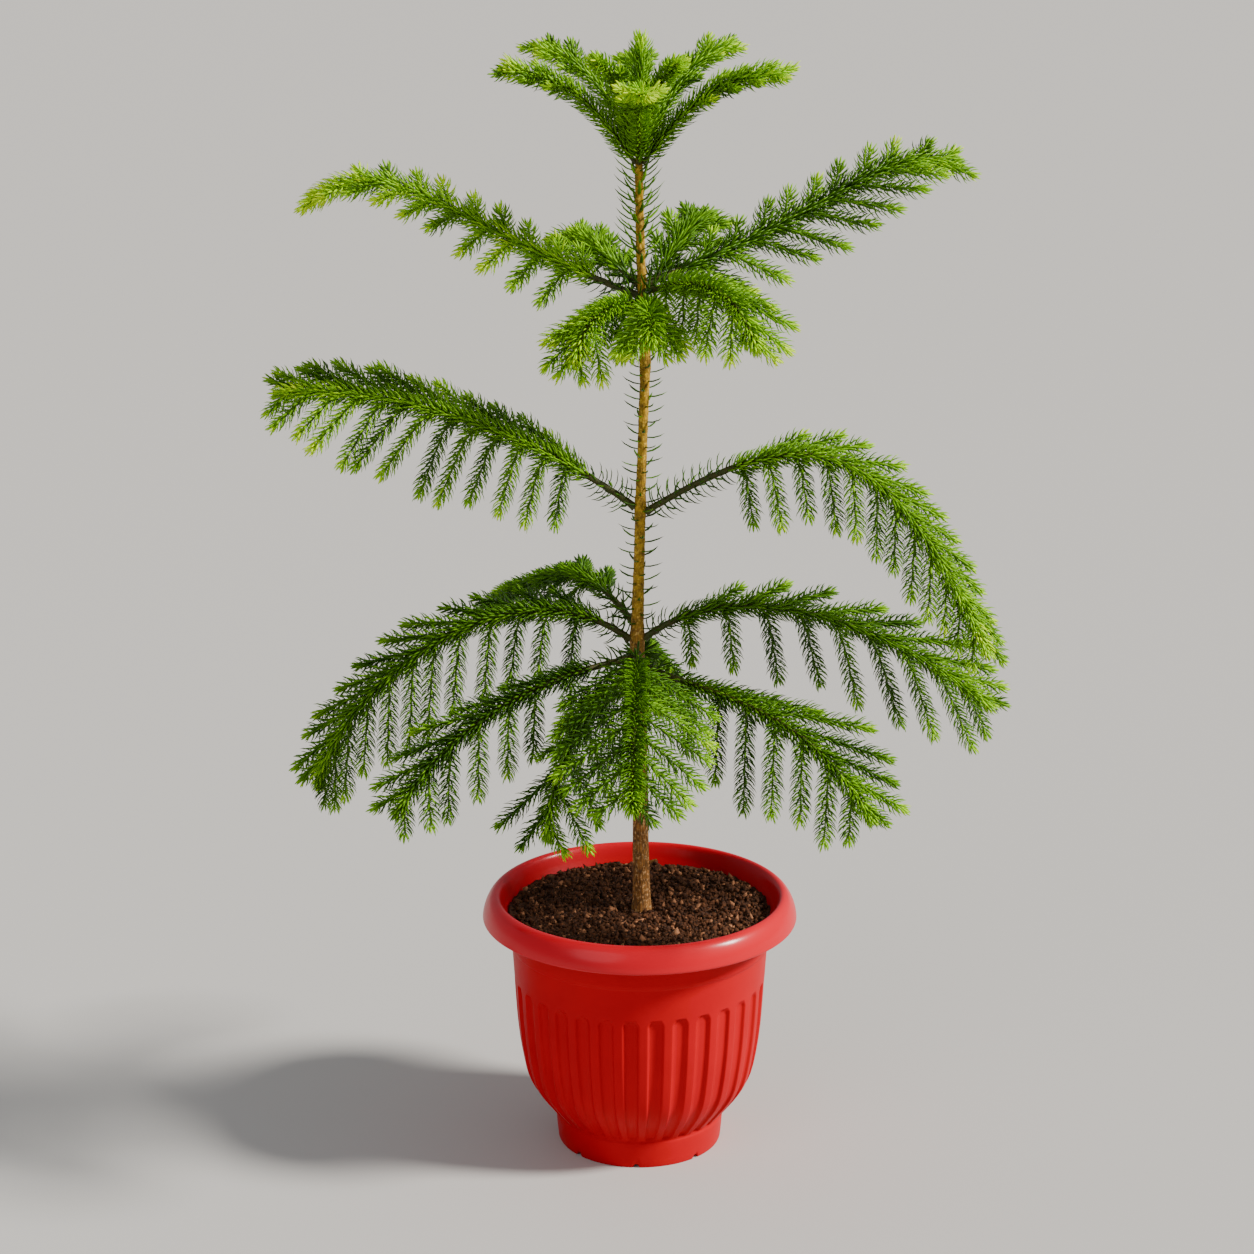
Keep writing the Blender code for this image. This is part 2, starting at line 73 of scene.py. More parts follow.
# Pot outlines, as (radius, height): under the foot, up the outside, over the rim and down inside.
POT_UNDERSIDE = ((0.0000, 0.0032), (0.0625, 0.0032), (0.0636, 0.0024), (0.0642, 0.0002))
POT_FOOT = ((0.0650, 0.0000), (0.0676, 0.0000), (0.0684, 0.0008), (0.0695, 0.0120), (0.0702, 0.0212))
POT_LEDGE = ((0.0700, 0.0226), (0.0693, 0.0234), (0.0696, 0.0244))
POT_BODY = (
    (0.0712, 0.0262),
    (0.0780, 0.0345),
    (0.0880, 0.0480),
    (0.0948, 0.0620),
    (0.0990, 0.0820),
    (0.1018, 0.1040),
    (0.1034, 0.1260),
    (0.1046, 0.1480),
    (0.1060, 0.1700),
    (0.1062, 0.1728),
)
POT_COLLAR = ((0.1066, 0.1738), (0.1074, 0.1746), (0.1076, 0.1780), (0.1083, 0.1960), (0.1092, 0.1990))
POT_LIP_UNDER = ((0.1120, 0.2000), (0.1240, 0.2000), (0.1266, 0.1992), (0.1276, 0.1974))
POT_LIP = (
    (0.1284, 0.1967),
    (0.1294, 0.1968),
    (0.1300, 0.1976),
    (0.1301, 0.1990),
    (0.1294, 0.2030),
    (0.1279, 0.2078),
    (0.1251, 0.2132),
    (0.1222, 0.2163),
    (0.1194, 0.2174),
    (0.1170, 0.2166),
    (0.1152, 0.2142),
    (0.1138, 0.2110),
)
POT_INSIDE = ((0.1126, 0.2080), (0.1112, 0.2050), (0.1070, 0.1990), (0.1030, 0.1940))

# Flutes: top, foot, half width in pitches, wall, the first one's azimuth, how much they bulge in
# the middle, the height over which they run out, and the stations across half a pitch.
FLUTE_TOP = 0.1468
FLUTE_FOOT = 0.0250
FLUTE_HALF = 0.335
FLUTE_WALL = 0.0022
FLUTE_PHASE = math.radians(-94.2)
FLUTE_CROWN = 0.12
FLUTE_FADE = 0.0012
FLUTE_STATIONS = (0.08, 0.235, 0.265, 0.295, 0.325, 0.355, 0.40)
ARCH_BELOW, ARCH_ABOVE, ARCH_STEP = 0.0075, 0.0010, 0.0008

# Drain notches round the foot.
NOTCHES = 8
NOTCH_AZIMUTH = math.radians(-92.5)
NOTCH_HALF_WIDTH = 0.0028
NOTCH_HEIGHT = 0.0034
# The colour changes over this span of radius from the pot's body to its rim: a lighter, pinker painted
# highlight.
RIM_EDGE = (POT_RADIUS - 0.0190, POT_RADIUS - 0.0130)

# Soil: its columns and rings, the insets and depths of its skirt, its relief and its crumbs.
SOIL_COLUMNS = 150
SOIL_RINGS = 62
SOIL_MIDDLE = 0.002
SOIL_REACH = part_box("soil")[1].x - 0.0008
SOIL_SKIRT = ((0.0078, 0.012), (0.0110, 0.045))
LUMPS_A_METRE, SWELLS_A_METRE = 130, 22
SOIL_LUMPS = 0.0024
SOIL_SWELL = 0.0022
SOIL_SINK = 0.0016
CRUMB_SHARES = (0.60, 0.33, 0.07)
CRUMB_SMALLEST, CRUMB_SPREAD, CRUMB_SKEW = 0.18, 0.72, 2.6
CRUMB_SCATTER = 0.34
CRUMB_LIFT, CRUMB_LIFT_SPREAD = 0.2, 0.5
CRUMB_STRETCH, CHIP_STRETCH = 0.5, 0.4
CRUMBS_OFF_EDGE = 0.004

# Trunk stations: height, radius and how far the centre line sways to the right.
TRUNK = (
    (TRUNK_FOOT, 0.0086, 0.0016),
    (0.2120, 0.0074, 0.0016),
    (0.2627, 0.0066, 0.0008),
    (0.3835, 0.0058, 0.0000),
    (0.4220, 0.0056, -0.0020),
    (0.4360, 0.0062, -0.0024),
    (0.4520, 0.0049, -0.0020),
    (0.4977, 0.0045, -0.0008),
    (0.5330, 0.0043, 0.0000),
    (0.5430, 0.0050, 0.0002),
    (0.5560, 0.0040, 0.0004),
    (0.6442, 0.0038, 0.0033),
    (0.6617, 0.0047, 0.0039),
    (0.6780, 0.0038, 0.0034),
    (0.7483, 0.0037, 0.0000),
    (0.7801, 0.0034, -0.0008),
    (0.8071, 0.0031, -0.0013),
    (TRUNK_TOP, 0.0024, -0.0008),
)
LOW_WHORL = 0.4320
TRUNK_SIDES = 40
TRUNK_STEP = 0.0014
TRUNK_SUNK = 0.0060

# Bark: where old turns to young, the grain of cracks, scars and lumps, and the leaf cushions' rows.
OLD_BARK_END, OLD_BARK_FADE = LOW_WHORL + 0.010, 0.040
YOUNG_BARK_SPAN = (LOW_WHORL - 0.030, LOW_WHORL + 0.040)
CRACK_ACROSS, CRACK_ALONG = 420, 60
SCAR_ROUND, SCAR_ALONG = 3, 900
LUMP_ROUND, LUMP_ALONG, LUMP_RELIEF = 1.5, 40, 0.0003
CRACK_LEVEL, SCAR_SHARE, CUSHION_LEVEL = 0.55, 0.25, 0.4
CUSHIONS_ROUND, CUSHION_DRIFT, CUSHION_ROWS = 5, 9, 5

# The stub of a shed bough: its place, run and direction, and its radius by the share along it.
STUB_HEIGHT = 0.2430
STUB_START = (0.0056, 0.0, 0.0)
STUB_RUN = (0.0072, -0.0010, 0.0030)
STUB_HEADING = (0.90, -0.12, 0.40)
STUB_RADII = ((0.0, 0.0022), (0.25, 0.0012), (0.8, 0.0008), (1.0, 0.0006))
STUB_RINGS, STUB_SIDES, STUB_ROUGHNESS = 7, 8, 0.18

# Limbs: how they and their twigs grow, as in the solids.
GAP = 0.0003
SEAT_GAP = 0.0005
PATH_POINTS = 81
PATH_STEP = 0.0001
BOUGH_CORE = 0.0029
PLUME_CORE = 0.0019
STEM_TIP_CORE = 0.0016
NEEDLE_REACH = 0.0068
YOUNG_NEEDLE_REACH = 0.0095
LEADER_NEEDLE_REACH = 0.0105
NEEDLES_NEAR_TRUNK = 0.34
TWIG_CORE = 0.0013
TWIG_SHORTEST = 0.0150
TWIG_STEP = 0.0040
TWIG_TRIES = (1.0, 0.8, 0.62, 0.45)
TWIG_CROWDING = 0.65
PLUME_BARE = 0.42
LAST_TWIG = 0.96
PLACE_SCATTER = 0.15
LEAN_SCATTER = 6
HANG_SCATTER = (0.88, 1.12)
LENGTH_SCATTER = (0.88, 1.06)
TWIG_TURN = 0.20
FAR_HANG = 0.18
FRONT_DROOP = 0.6
FAR_SHORT = 1.24
TWIG_BEND = 3.0
TWIG_EASE = 0.70
ROLL_EASE = 0.70
TWIG_NARROW = 0.35
TWIG_AT_TIP = 0.52
TWIG_PAST_TIP = 0.014
ROOT_FREE = 0.0160

# Dressed twigs only: bark radii at foot and tip, the bare foot, and the room a late twig needs.
TWIG_BARK = (0.00095, 0.00050)
TWIG_BARE = 0.0025
FILL_ROOM = 0.0055

Limb = namedtuple(
    "Limb",
    "name azimuth height rise hold fall drop reach tip bare masses pairs twig foot peak lean hang roll lift",
    defaults=(0.45, 0.24),
)


def mm_limb(name, azimuth, height, rise, hold, fall, drop, reach, tip, bare, masses, pairs, twig, *shape):
    """A limb whose lengths are given in millimetres."""
    height, reach, tip, bare, twig = (length / 1000 for length in (height, reach, tip, bare, twig))
    curve = (azimuth, height, rise, hold, fall, drop, reach, tip)
    return Limb(name, *curve, bare, masses, pairs, twig, *shape)


LIMBS = (
    mm_limb("low_right", 2, 431, 42, 0.3, 40, 0.45, 288, 374, 36, 2, 9, 94, 0.44, 0.62, 48, 0.9),
    mm_limb("low_left", 183, 430, 42, 0.45, 80, 0.3, 262, 314, 36, 2, 12, 80, 0.55, 0.45, 48, 0.9, 1.0),
    mm_limb("low_back_left", 128, 445, 30, 0.45, 24, 0.6, 202, 427, 44, 2, 6, 56, 0.66, 0.4, 48, 0.7, 0.6),
    mm_limb("low_back", 84, 418, 0, 0.35, 52, 0.45, 180, 318, 40, 1, 5, 50, 0.66, 0.4, 48, 0.9),
    mm_limb("low_front_left", 208, 420, -2, 0.45, 56, 0.3, 218, 320, 42, 2, 7, 66, 0.66, 0.45, 48, 0.8, 0.8),
    mm_limb("low_front_side", 236, 412, -10, 0.6, 84, 0.3, 130, 302, 36, 1, 5, 75, 0.7, 0.35, 50, 0.5, 0.6),
    mm_limb("low_front", 268, 424, 0, 0.3, 36, 0.4, 200, 358, 28, 2, 8, 80, 1.0, 0.2, 64, 0.45),
    mm_limb("low_front_right", 325, 415, -14, 0.3, 54, 0.45, 220, 324, 44, 2, 7, 86, 0.7, 0.3, 48, 0.8, 0.6),
    mm_limb("mid_left", 175, 541, 38, 0.3, 8, 0.3, 292, 631, 50, 2, 13, 78, 0.7, 0.45, 48, 0.9),
    mm_limb("mid_right", 350, 538, 34, 0.6, 64, 0.6, 280, 436, 84, 3, 12, 60, 0.9, 0.5, 48, 0.85, 1.0),
    mm_limb("high_left", 165, 713, 18, 0.6, 36, 0.3, 274, 778, 40, 2, 10, 46, 1.0, 0.1, 58, 0.5, 0.15, 0.65),
    mm_limb("high_back_left", 118, 720, 14, 0.4, 0, 0.4, 118, 748, 34, 1, 4, 40, 0.7, 0.4, 44, 0.3, 0.45, 0.5),
    mm_limb("high_right", 18, 722, 18, 0.75, 12, 0.3, 268, 807, 36, 2, 10, 68, 0.8, 0.3, 38, 0.3, 0.4, 0.8),
    mm_limb("high_front_right", 310, 716, 20, 0.5, 62, 0.4, 135, 690, 26, 1, 6, 58, 0.8, 0.5, 46, 0.8, 0.6),
    mm_limb("high_front", 276, 699, 20, 0.4, 60, 0.4, 85, 690, 22, 1, 4, 50, 1.0, 0.4, 52, 0.9),
    mm_limb("high_front_left", 236, 706, 20, 0.35, 74, 0.42, 90, 674, 22, 1, 6, 52, 0.9, 0.3, 44, 0.9, 0.7),
    mm_limb("high_back", 62, 713, 26, 0.4, 10, 0.4, 125, 760, 30, 1, 4, 40, 0.7, 0.4, 44, 0.3),
)


def plume(side, azimuth, height, rise, fall, reach, tip, pairs=3, hold=0.45, twig=26):
    """A limb of the crown."""
    curve = (azimuth, height, rise, hold, fall, 0.4, reach, tip)
    return mm_limb(f"crown_{side}", *curve, 0, 1, pairs, twig, 0.8, 0.4, 42, 0)


PLUMES = (
    plume("left", 186, 813, 56, -4, 106, 888),
    plume("back_left", 140, 819, 60, -6, 108, 900),
    plume("back", 92, 813, 62, 0, 88, 890),
    plume("back_right", 40, 819, 60, -6, 96, 902),
    plume("right", 352, 813, 54, 0, 111, 886, pairs=4),
    plume("front_right", 308, 819, 66, -20, 50, 897, pairs=2, hold=0.5, twig=22),
    plume("front", 269, 813, 56, 4, 86, 876),
    plume("front_left", 226, 819, 66, -20, 52, 898, pairs=2, hold=0.5, twig=22),
)
LEADER = Limb("leader", 0, TRUNK_TOP + GAP, 90, 0.3, -90, 0.3, 0, 0.9125, 0, 1, 0, 0, 1, 0.4, 0, 0)

# Whorls, from the ground up, with the record's material slot of their needles.
WHORLS = {"low": "needles", "mid": "needles", "high": "young_needles", "crown": "young_needles"}

# Needle tones from old to new growth. A whorl's sprays start at one of its own tones.
TONES = ("deep", "dark", "green", "fresh", "bright", "tip")
WHORL_TONES = {"low": (0, 0, 1, 1), "mid": (1, 1, 2, 2), "high": (1, 2, 2, 3), "crown": (1, 2, 3)}
# Limbs with tones of their own. The darker tones of high_right are partly painted shade, for the shadows on
# it.
LIMB_TONES = {
    "low_right": (0, 1, 1, 1),
    "low_front_left": (0, 0, 0, 1),
    "low_front": (0, 1, 1, 2),
    "high_left": (2, 3, 3, 4),
    "high_right": (1, 1, 1, 2),
    "high_back": (1, 1, 2),
    "high_back_left": (1, 2, 2),
    "high_front_left": (1, 2, 3, 3),
    "high_front": (2, 2, 3),
    "high_front_right": (2, 2, 3),
    "crown_front": (4, 2, 4),
    "crown_back": (2, 2, 3),
}
# Sprays that face the front, with longer needles set further apart.
LONG_NEEDLES = {"low_front": 1.10, "high_front": 1.10}
STEM_LONGER = 1.08
LEADER_LONGER = 1.15
BARE_LONGER = 1.4
OUTER_TWIGS, OUTER_FRESHER = 0.72, 0.6

# How needles clothe a stretch: spacing and girth as shares of the usual, how far they crowd to the
# two sides, the share of it that has young tones, and the degrees at which they leave and end.
Coat = namedtuple(
    "Coat", "spacing flat young opening closing girth", defaults=(1.0, 0.30, 0.22, 64, 26, 1.0)
)
TWIG_COAT = Coat()
STEM_COAT = Coat(0.5, 0.1)
BARE_COAT = Coat(1.9, 0.0, 0.0, 84, 44, 1.2)

# The trunk's needles, from just over the low whorl up, along points this far apart: start, end,
# tone, length as a share of a young needle's, and coat.
TRUNK_NEEDLES_FROM, TRUNK_NEEDLES_STEP = LOW_WHORL + 0.012, 0.004
TRUNK_NEEDLES = (
    (0.0, 0.225, 0, 1.25, Coat(4.3, 0.0, 0.0, 84, 52, 1.4)),
    (0.225, 0.300, 0, 1.45, Coat(3.3, 0.0, 0.0, 76, 44, 1.4)),
    (0.300, None, 1, 1.65, Coat(1.9, 0.0, 0.0, 66, 36, 1.4)),
)
GOLDEN_ANGLE = math.radians(137.5)

# Camera: the photograph's place, tilt and lens, for a frame as high as it is wide.
CAMERA_PLACE = (-0.0105, -2.1960, 1.0666)
CAMERA_TILT = math.radians(15.8)
SENSOR = 36.0
FLOOR_SIZE = 120.0
AIM = (0.0, 0.0, 0.4)
KEY_PLACE = (3.0, -0.55, 2.7)
KEY_WIDTH = math.radians(11)
KEY_COLOUR = (1.0, 0.96, 0.89)
FILL_PLACE = (-1.9, -3.0, 2.2)
FILL_SIZE = 2.6
FILL_COLOUR = (0.94, 0.97, 1.0)
SKY_COLOUR = (0.95, 0.97, 1.0, 1.0)


# Settings that a user would change.
def metres(name, description, default):
    return FloatProperty(
        name=name, description=description, default=default, min=0.0, max=1.0, unit="LENGTH", precision=5
    )


def tint(name, description, *colour):
    return FloatVectorProperty(
        name=name, description=description, default=(*colour, 1.0), subtype="COLOR", size=4, min=0.0, max=1.0
    )


class PotSettings(bpy.types.PropertyGroup):
    """The pot and its soil."""

    flutes: IntProperty(name="Flutes", description="Channels round the pot", default=32, min=8, max=64)
    flute_depth: metres("Flute depth", "How deep the channels are", 0.0024)
    crumb: metres("Crumb", "Size of a large soil crumb", 0.0031)
    crumbs: IntProperty(
        name="Crumbs", description="Loose crumbs on the soil", default=11000, min=0, max=20000
    )
    plastic: tint("Plastic", "Colour of the pot", 0.500, 0.0003, 0.0070)
    # Lighter and pinker than the plastic: a painted highlight on the rim.
    rim: tint("Rim", "Colour of the rolled rim", 0.580, 0.0003, 0.0120)
    # Near black. On the soil bed it is painted shade in the gaps between the crumbs. It is also the colour of
    # most crumbs.
    soil_dark: tint("Dark soil", "Colour of the damp soil", 0.0085, 0.0026, 0.0006)
    soil_brown: tint("Brown soil", "Colour of the drier crumbs", 0.130, 0.043, 0.013)
    soil_fleck: tint("Flecks", "Colour of the bark chips in the soil", 0.380, 0.165, 0.078)


class WoodSettings(bpy.types.PropertyGroup):
    """Trunk, boughs, stems and twigs."""

    crack_depth: metres("Crack depth", "Relief of the old bark", 0.00045)
    cushion: metres("Cushion height", "Relief of the leaf cushions on young bark", 0.00035)
    # Pale marks painted as sunlit highlights on the lower trunk.
    old_bark_highlight: tint("Old flecks", "Pale flecks of the lower trunk", 0.90, 0.52, 0.22)
    old_bark: tint("Old bark", "Colour of the lower trunk", 0.440, 0.180, 0.038)
    # Painted shade in the cracks of the old bark. Also the dry stub's darker patches.
    crack: tint("Cracks", "Colour in the cracks of the bark", 0.040, 0.022, 0.010)
    # Golden marks painted as sunlit highlights on the upper trunk.
    young_bark_highlight: tint("Young flecks", "Golden flecks of the upper trunk", 0.90, 0.60, 0.08)
    young_bark: tint("Young bark", "Colour of the upper trunk", 0.440, 0.250, 0.008)
    young_dark: tint("Dark young bark", "Darker patches of the upper trunk", 0.075, 0.034, 0.004)
    stem: tint("Stems", "Colour of boughs and stems", 0.040, 0.058, 0.004)
    twig: tint("Twigs", "Colour of the twigs", 0.100, 0.240, 0.004)


class NeedleSettings(bpy.types.PropertyGroup):
    """Needles and their tones."""

    old_length: metres("Needle length", "Needles of the low and mid whorls", 0.0120)
    young_length: metres("Young needle length", "Needles of the high whorl", 0.0130)
    plume_length: metres("Crown needle length", "Needles of the crown's plumes", 0.0120)
    half_width: metres("Needle half width", "Half of a needle's greatest width", 0.00090)
    pitch: metres("Needle pitch", "Distance along a twig from one needle to the next", 0.00058)
    deep: tint("Deep", "The oldest needles", 0.031, 0.092, 0.001)
    dark: tint("Dark", "Old needles", 0.072, 0.190, 0.001)
    green: tint("Green", "Full-grown needles", 0.135, 0.320, 0.001)
    fresh: tint("Fresh", "This year's needles", 0.225, 0.490, 0.002)
    bright: tint("Bright", "New needles", 0.400, 0.720, 0.002)
    tip: tint("Tip", "The newest needles at the tips", 0.580, 0.840, 0.003)


class StageSettings(bpy.types.PropertyGroup):
    """Camera, light and floor."""

    lens: FloatProperty(
        name="Lens", description="Focal length", default=81.19, min=10.0, max=300.0, unit="CAMERA"
    )
    key: FloatProperty(
        name="Key light", description="Strength of the wide sun-like key", default=6.6, min=0.0
    )
    fill: FloatProperty(name="Fill light", description="Power of the fill light", default=27.0, unit="POWER")
    sky: FloatProperty(name="Sky", description="Strength of the even light", default=0.40, min=0.0, max=5.0)
    floor: tint("Floor", "Colour of the floor", 0.520, 0.505, 0.487)


# Shared shader groups. They put out colours, masks and values only.
def feed(tree, value, socket):
    """Links a socket, or gives it a plain value."""
    if isinstance(value, bpy.types.NodeSocket):
        tree.links.new(value, socket)
    else:
        socket.default_value = value


class Nodes:
    """Adds nodes to a tree and joins them in one call each."""

    def __init__(self, tree):
        self.tree = tree

    def add(self, kind, inputs=(), **settings):
        node = self.tree.nodes.new(kind)
        for name, value in settings.items():
            setattr(node, name, value)
        for key, value in dict(inputs).items():
            feed(self.tree, value, node.inputs[key])
        return node

    def place(self):
        return self.add("ShaderNodeTexCoord").outputs["Object"]

    def split(self, vector):
        return self.add("ShaderNodeSeparateXYZ", {0: vector}).outputs

    def math(self, operation, *values):
        return self.add("ShaderNodeMath", dict(enumerate(values)), operation=operation).outputs[0]

    def noise(self, vector, scale, detail=3.0, rough=0.55):
        inputs = {"Vector": vector, "Scale": scale, "Detail": detail, "Roughness": rough}
        return self.add("ShaderNodeTexNoise", inputs).outputs["Fac"]

    def mix(self, factor, first, second):
        return self.add("ShaderNodeMix", {0: factor, 6: first, 7: second}, data_type="RGBA").outputs[2]

    def span(self, value, low, high, to_low=0.0, to_high=1.0):
        inputs = {0: value, 1: low, 2: high, 3: to_low, 4: to_high}
        return self.add("ShaderNodeMapRange", inputs).outputs[0]


class Group(Nodes):
    """A shared group, with its inputs by name."""

    def __init__(self, name, inputs, outputs):
        super().__init__(bpy.data.node_groups.new(name, "ShaderNodeTree"))
        for label, kind, value in inputs:
            socket = self.tree.interface.new_socket(name=label, in_out="INPUT", socket_type=kind)
            socket.default_value = value
        for label, kind in outputs:
            self.tree.interface.new_socket(name=label, in_out="OUTPUT", socket_type=kind)
        self.given = self.add("NodeGroupInput").outputs

    def finish(self, **results):
        self.add("NodeGroupOutput", results)


def mottle_group():
    """Two colours mixed in soft patches."""
    inputs = (
        ("First", "NodeSocketColor", (1, 1, 1, 1)),
        ("Second", "NodeSocketColor", (0, 0, 0, 1)),
        ("Scale", "NodeSocketFloat", 60.0),
        ("Share", "NodeSocketFloat", 0.5),
    )
    group = Group("mottle", inputs, (("Colour", "NodeSocketColor"),))
    patches = group.noise(group.place(), group.given["Scale"], detail=4.0, rough=0.6)
    mask = group.math("MULTIPLY", group.span(patches, low=0.35, high=0.68), group.given["Share"])
    group.finish(Colour=group.mix(mask, group.given["First"], group.given["Second"]))
    return group.tree


def grain_group():
    """Fine relief, and a roughness that varies with it."""
    inputs = (
        ("Scale", "NodeSocketFloat", 900.0),
        ("Roughness", "NodeSocketFloat", 0.5),
        ("Spread", "NodeSocketFloat", 0.1),
    )
    group = Group("grain", inputs, (("Height", "NodeSocketFloat"), ("Roughness", "NodeSocketFloat")))
    place = group.place()
    fine = group.noise(place, group.given["Scale"], detail=2.0)
    broad = group.noise(place, group.math("MULTIPLY", group.given["Scale"], 0.06))
    shift = group.math("MULTIPLY", group.math("SUBTRACT", broad, 0.5), group.given["Spread"])
    group.finish(Height=fine, Roughness=group.math("ADD", group.given["Roughness"], shift))
    return group.tree


def bark_group():
    """Masks and a height: upright cracks, painted dark as shade, and pale marks painted as highlights."""
    inputs = (("Width", "NodeSocketFloat", 520.0), ("Stretch", "NodeSocketFloat", 0.16))
    labels = ("Cracks", "Flecks", "Height")
    group = Group("bark_cracks", inputs, [(label, "NodeSocketFloat") for label in labels])
    place = group.place()
    across, along, upward = group.split(place)
    upward = group.math("MULTIPLY", upward, group.given["Stretch"])
    tall = group.add("ShaderNodeCombineXYZ", {0: across, 1: along, 2: upward}).outputs[0]
    cell_inputs = {"Vector": tall, "Scale": group.given["Width"]}
    cells = group.add("ShaderNodeTexVoronoi", cell_inputs, feature="DISTANCE_TO_EDGE")
    cracks = group.span(cells.outputs["Distance"], low=0.0, high=0.16, to_low=1.0, to_high=0.0)
    # Pale marks painted as sunlit highlights.
    highlight_flecks = group.span(group.noise(place, scale=450.0), low=0.54, high=0.66)
    group.finish(Cracks=cracks, Flecks=highlight_flecks, Height=group.math("SUBTRACT", 1.0, cracks))
    return group.tree


def shared_group(name):
    made = bpy.data.node_groups.get(name)
    return made or {"mottle": mottle_group, "grain": grain_group, "bark_cracks": bark_group}[name]()


class Finish:
    """A material under construction: its shader, and the groups that feed it."""

    def __init__(self, name, roughness=0.5, specular=0.5):
        self.material = bpy.data.materials.new(name)
        self.material.use_nodes = True
        self.nodes = Nodes(self.material.node_tree)
        self.shader = self.nodes.tree.nodes["Principled BSDF"]
        self.give("Roughness", roughness)
        self.give("Specular IOR Level", specular)

    def give(self, name, value):
        feed(self.nodes.tree, value, self.shader.inputs[name])

    def group(self, name, inputs=()):
        return self.nodes.add("ShaderNodeGroup", inputs, node_tree=shared_group(name)).outputs

    def mottle(self, first, second, scale, share):
        inputs = {"First": first, "Second": second, "Scale": scale, "Share": share}
        return self.group("mottle", inputs)["Colour"]

    def grain(self, scale, roughness, spread, depth=None):
        made = self.group("grain", {"Scale": scale, "Roughness": roughness, "Spread": spread})
        self.give("Roughness", made["Roughness"])
        if depth:
            self.relief(made["Height"], depth)

    def relief(self, height, depth):
        bump = self.nodes.add("ShaderNodeBump", {"Height": height, "Strength": 0.6, "Distance": depth})
        self.give("Normal", bump.outputs[0])


def darker(value, factor):
    return (value[0] * factor, value[1] * factor, value[2] * factor, 1.0)


def plastic_finish(settings):
    """Satin moulded plastic, glossier on the rim, and lighter and pinker there as a painted highlight."""
    finish = Finish("red_plastic", specular=0.08)
    nodes = finish.nodes
    across, along, _ = nodes.split(nodes.place())
    squares = (nodes.math("POWER", value, 2.0) for value in (across, along))
    rim = nodes.span(nodes.math("SQRT", nodes.math("ADD", *squares)), *RIM_EDGE)
    body = finish.mottle(settings.plastic, darker(settings.plastic, 0.86), scale=26.0, share=0.6)
    # The rim colour is mixed in over the rim as a painted highlight.
    finish.give("Base Color", nodes.mix(rim, body, settings.rim))
    finish.grain(scale=1400.0, roughness=0.46, spread=0.16, depth=0.00006)
    finish.give("Coat Weight", nodes.math("MULTIPLY", rim, 0.40))
    finish.give("Coat Roughness", 0.20)
    return finish.material


def soil_finish(name, value, second):
    finish = Finish(name, specular=0.25)
    finish.give("Base Color", finish.mottle(value, second, scale=420.0, share=0.8))
    finish.grain(scale=1500.0, roughness=0.85, spread=0.2, depth=0.0006)
    return finish.material


def trunk_finish(settings):
    """Cracked tan bark at the foot, turning golden olive above the low whorl; painted highlights and shade."""
    finish = Finish("bark", roughness=0.78, specular=0.3)
    nodes = finish.nodes
    _, _, height = nodes.split(nodes.place())
    young = nodes.span(height, *YOUNG_BARK_SPAN)
    bark = finish.group("bark_cracks")
    old = finish.mottle(settings.old_bark, darker(settings.old_bark, 0.38), scale=150.0, share=0.9)
    # Pale marks paint sunlit highlights on the old bark.
    old = nodes.mix(nodes.math("MULTIPLY", bark["Flecks"], 0.75), old, settings.old_bark_highlight)
    # The cracks are painted dark over their relief: painted shade in the recesses.
    old = nodes.mix(nodes.math("MULTIPLY", bark["Cracks"], 0.75), old, settings.crack)
    fresh = finish.mottle(settings.young_bark, settings.young_dark, scale=200.0, share=0.9)
    # Golden marks paint sunlit highlights on the young bark.
    fresh = nodes.mix(nodes.math("MULTIPLY", bark["Flecks"], 0.45), fresh, settings.young_bark_highlight)
    finish.give("Base Color", nodes.mix(young, old, fresh))
    finish.relief(bark["Height"], 0.0005)
    return finish.material


def wood_finish(name, value, second):
    finish = Finish(name, specular=0.35)
    finish.give("Base Color", finish.mottle(value, second, scale=260.0, share=0.8))
    finish.grain(scale=1100.0, roughness=0.62, spread=0.2, depth=0.0004)
    return finish.material


def needle_finish(name, value):
    """One plain tone. Its waxy gloss varies a little from needle to needle."""
    finish = Finish(f"needles_{name}", specular=0.16)
    finish.give("Base Color", value)
    finish.grain(scale=900.0, roughness=0.42, spread=0.25)
    return finish.material


# Objects, and meshes from arrays.
def place_object(name, data, place=(0, 0, 0), turn=(0, 0, 0)):
    made = bpy.data.objects.new(name, data)
    made.location = place
    made.rotation_euler = turn
    bpy.context.scene.collection.objects.link(made)
    return made


def new_piece(name, points, faces, finishes, slot, replaced, picks=None):
    """A mesh piece that rides on the body. Faces are arrays of corners; picks choose among finishes."""
    mesh = bpy.data.meshes.new(name)
    points = np.asarray(points, np.float32)
    corners = np.concatenate([np.asarray(part).ravel() for part in faces]).astype(np.int32)
    sizes = np.concatenate([np.full(len(part), part.shape[1]) for part in faces])
    mesh.vertices.add(len(points))
    mesh.vertices.foreach_set("co", points.ravel())
    mesh.loops.add(len(corners))
    mesh.loops.foreach_set("vertex_index", corners)
    mesh.polygons.add(len(sizes))
    mesh.polygons.foreach_set("loop_start", np.concatenate([[0], np.cumsum(sizes)[:-1]]).astype(np.int32))
    for finish in finishes:
        mesh.materials.append(finish)
    if picks is not None:
        mesh.polygons.foreach_set("material_index", np.asarray(picks, np.int32))
    mesh.update(calc_edges=True)
    mesh.validate()
    mesh.shade_smooth()
    piece = place_object(name, mesh)
    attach(piece, BODY)
    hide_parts(*replaced)
    return piece


def grid_faces(rows, columns, start=0):
    """Quads between rows of points that close round."""
    row = np.arange(rows - 1)[:, None] * columns
    column = np.arange(columns)[None]
    after = (column + 1) % columns
    corners = np.stack([row + column, row + after, row + columns + after, row + columns + column], axis=-1)
    return corners.reshape(-1, 4) + start


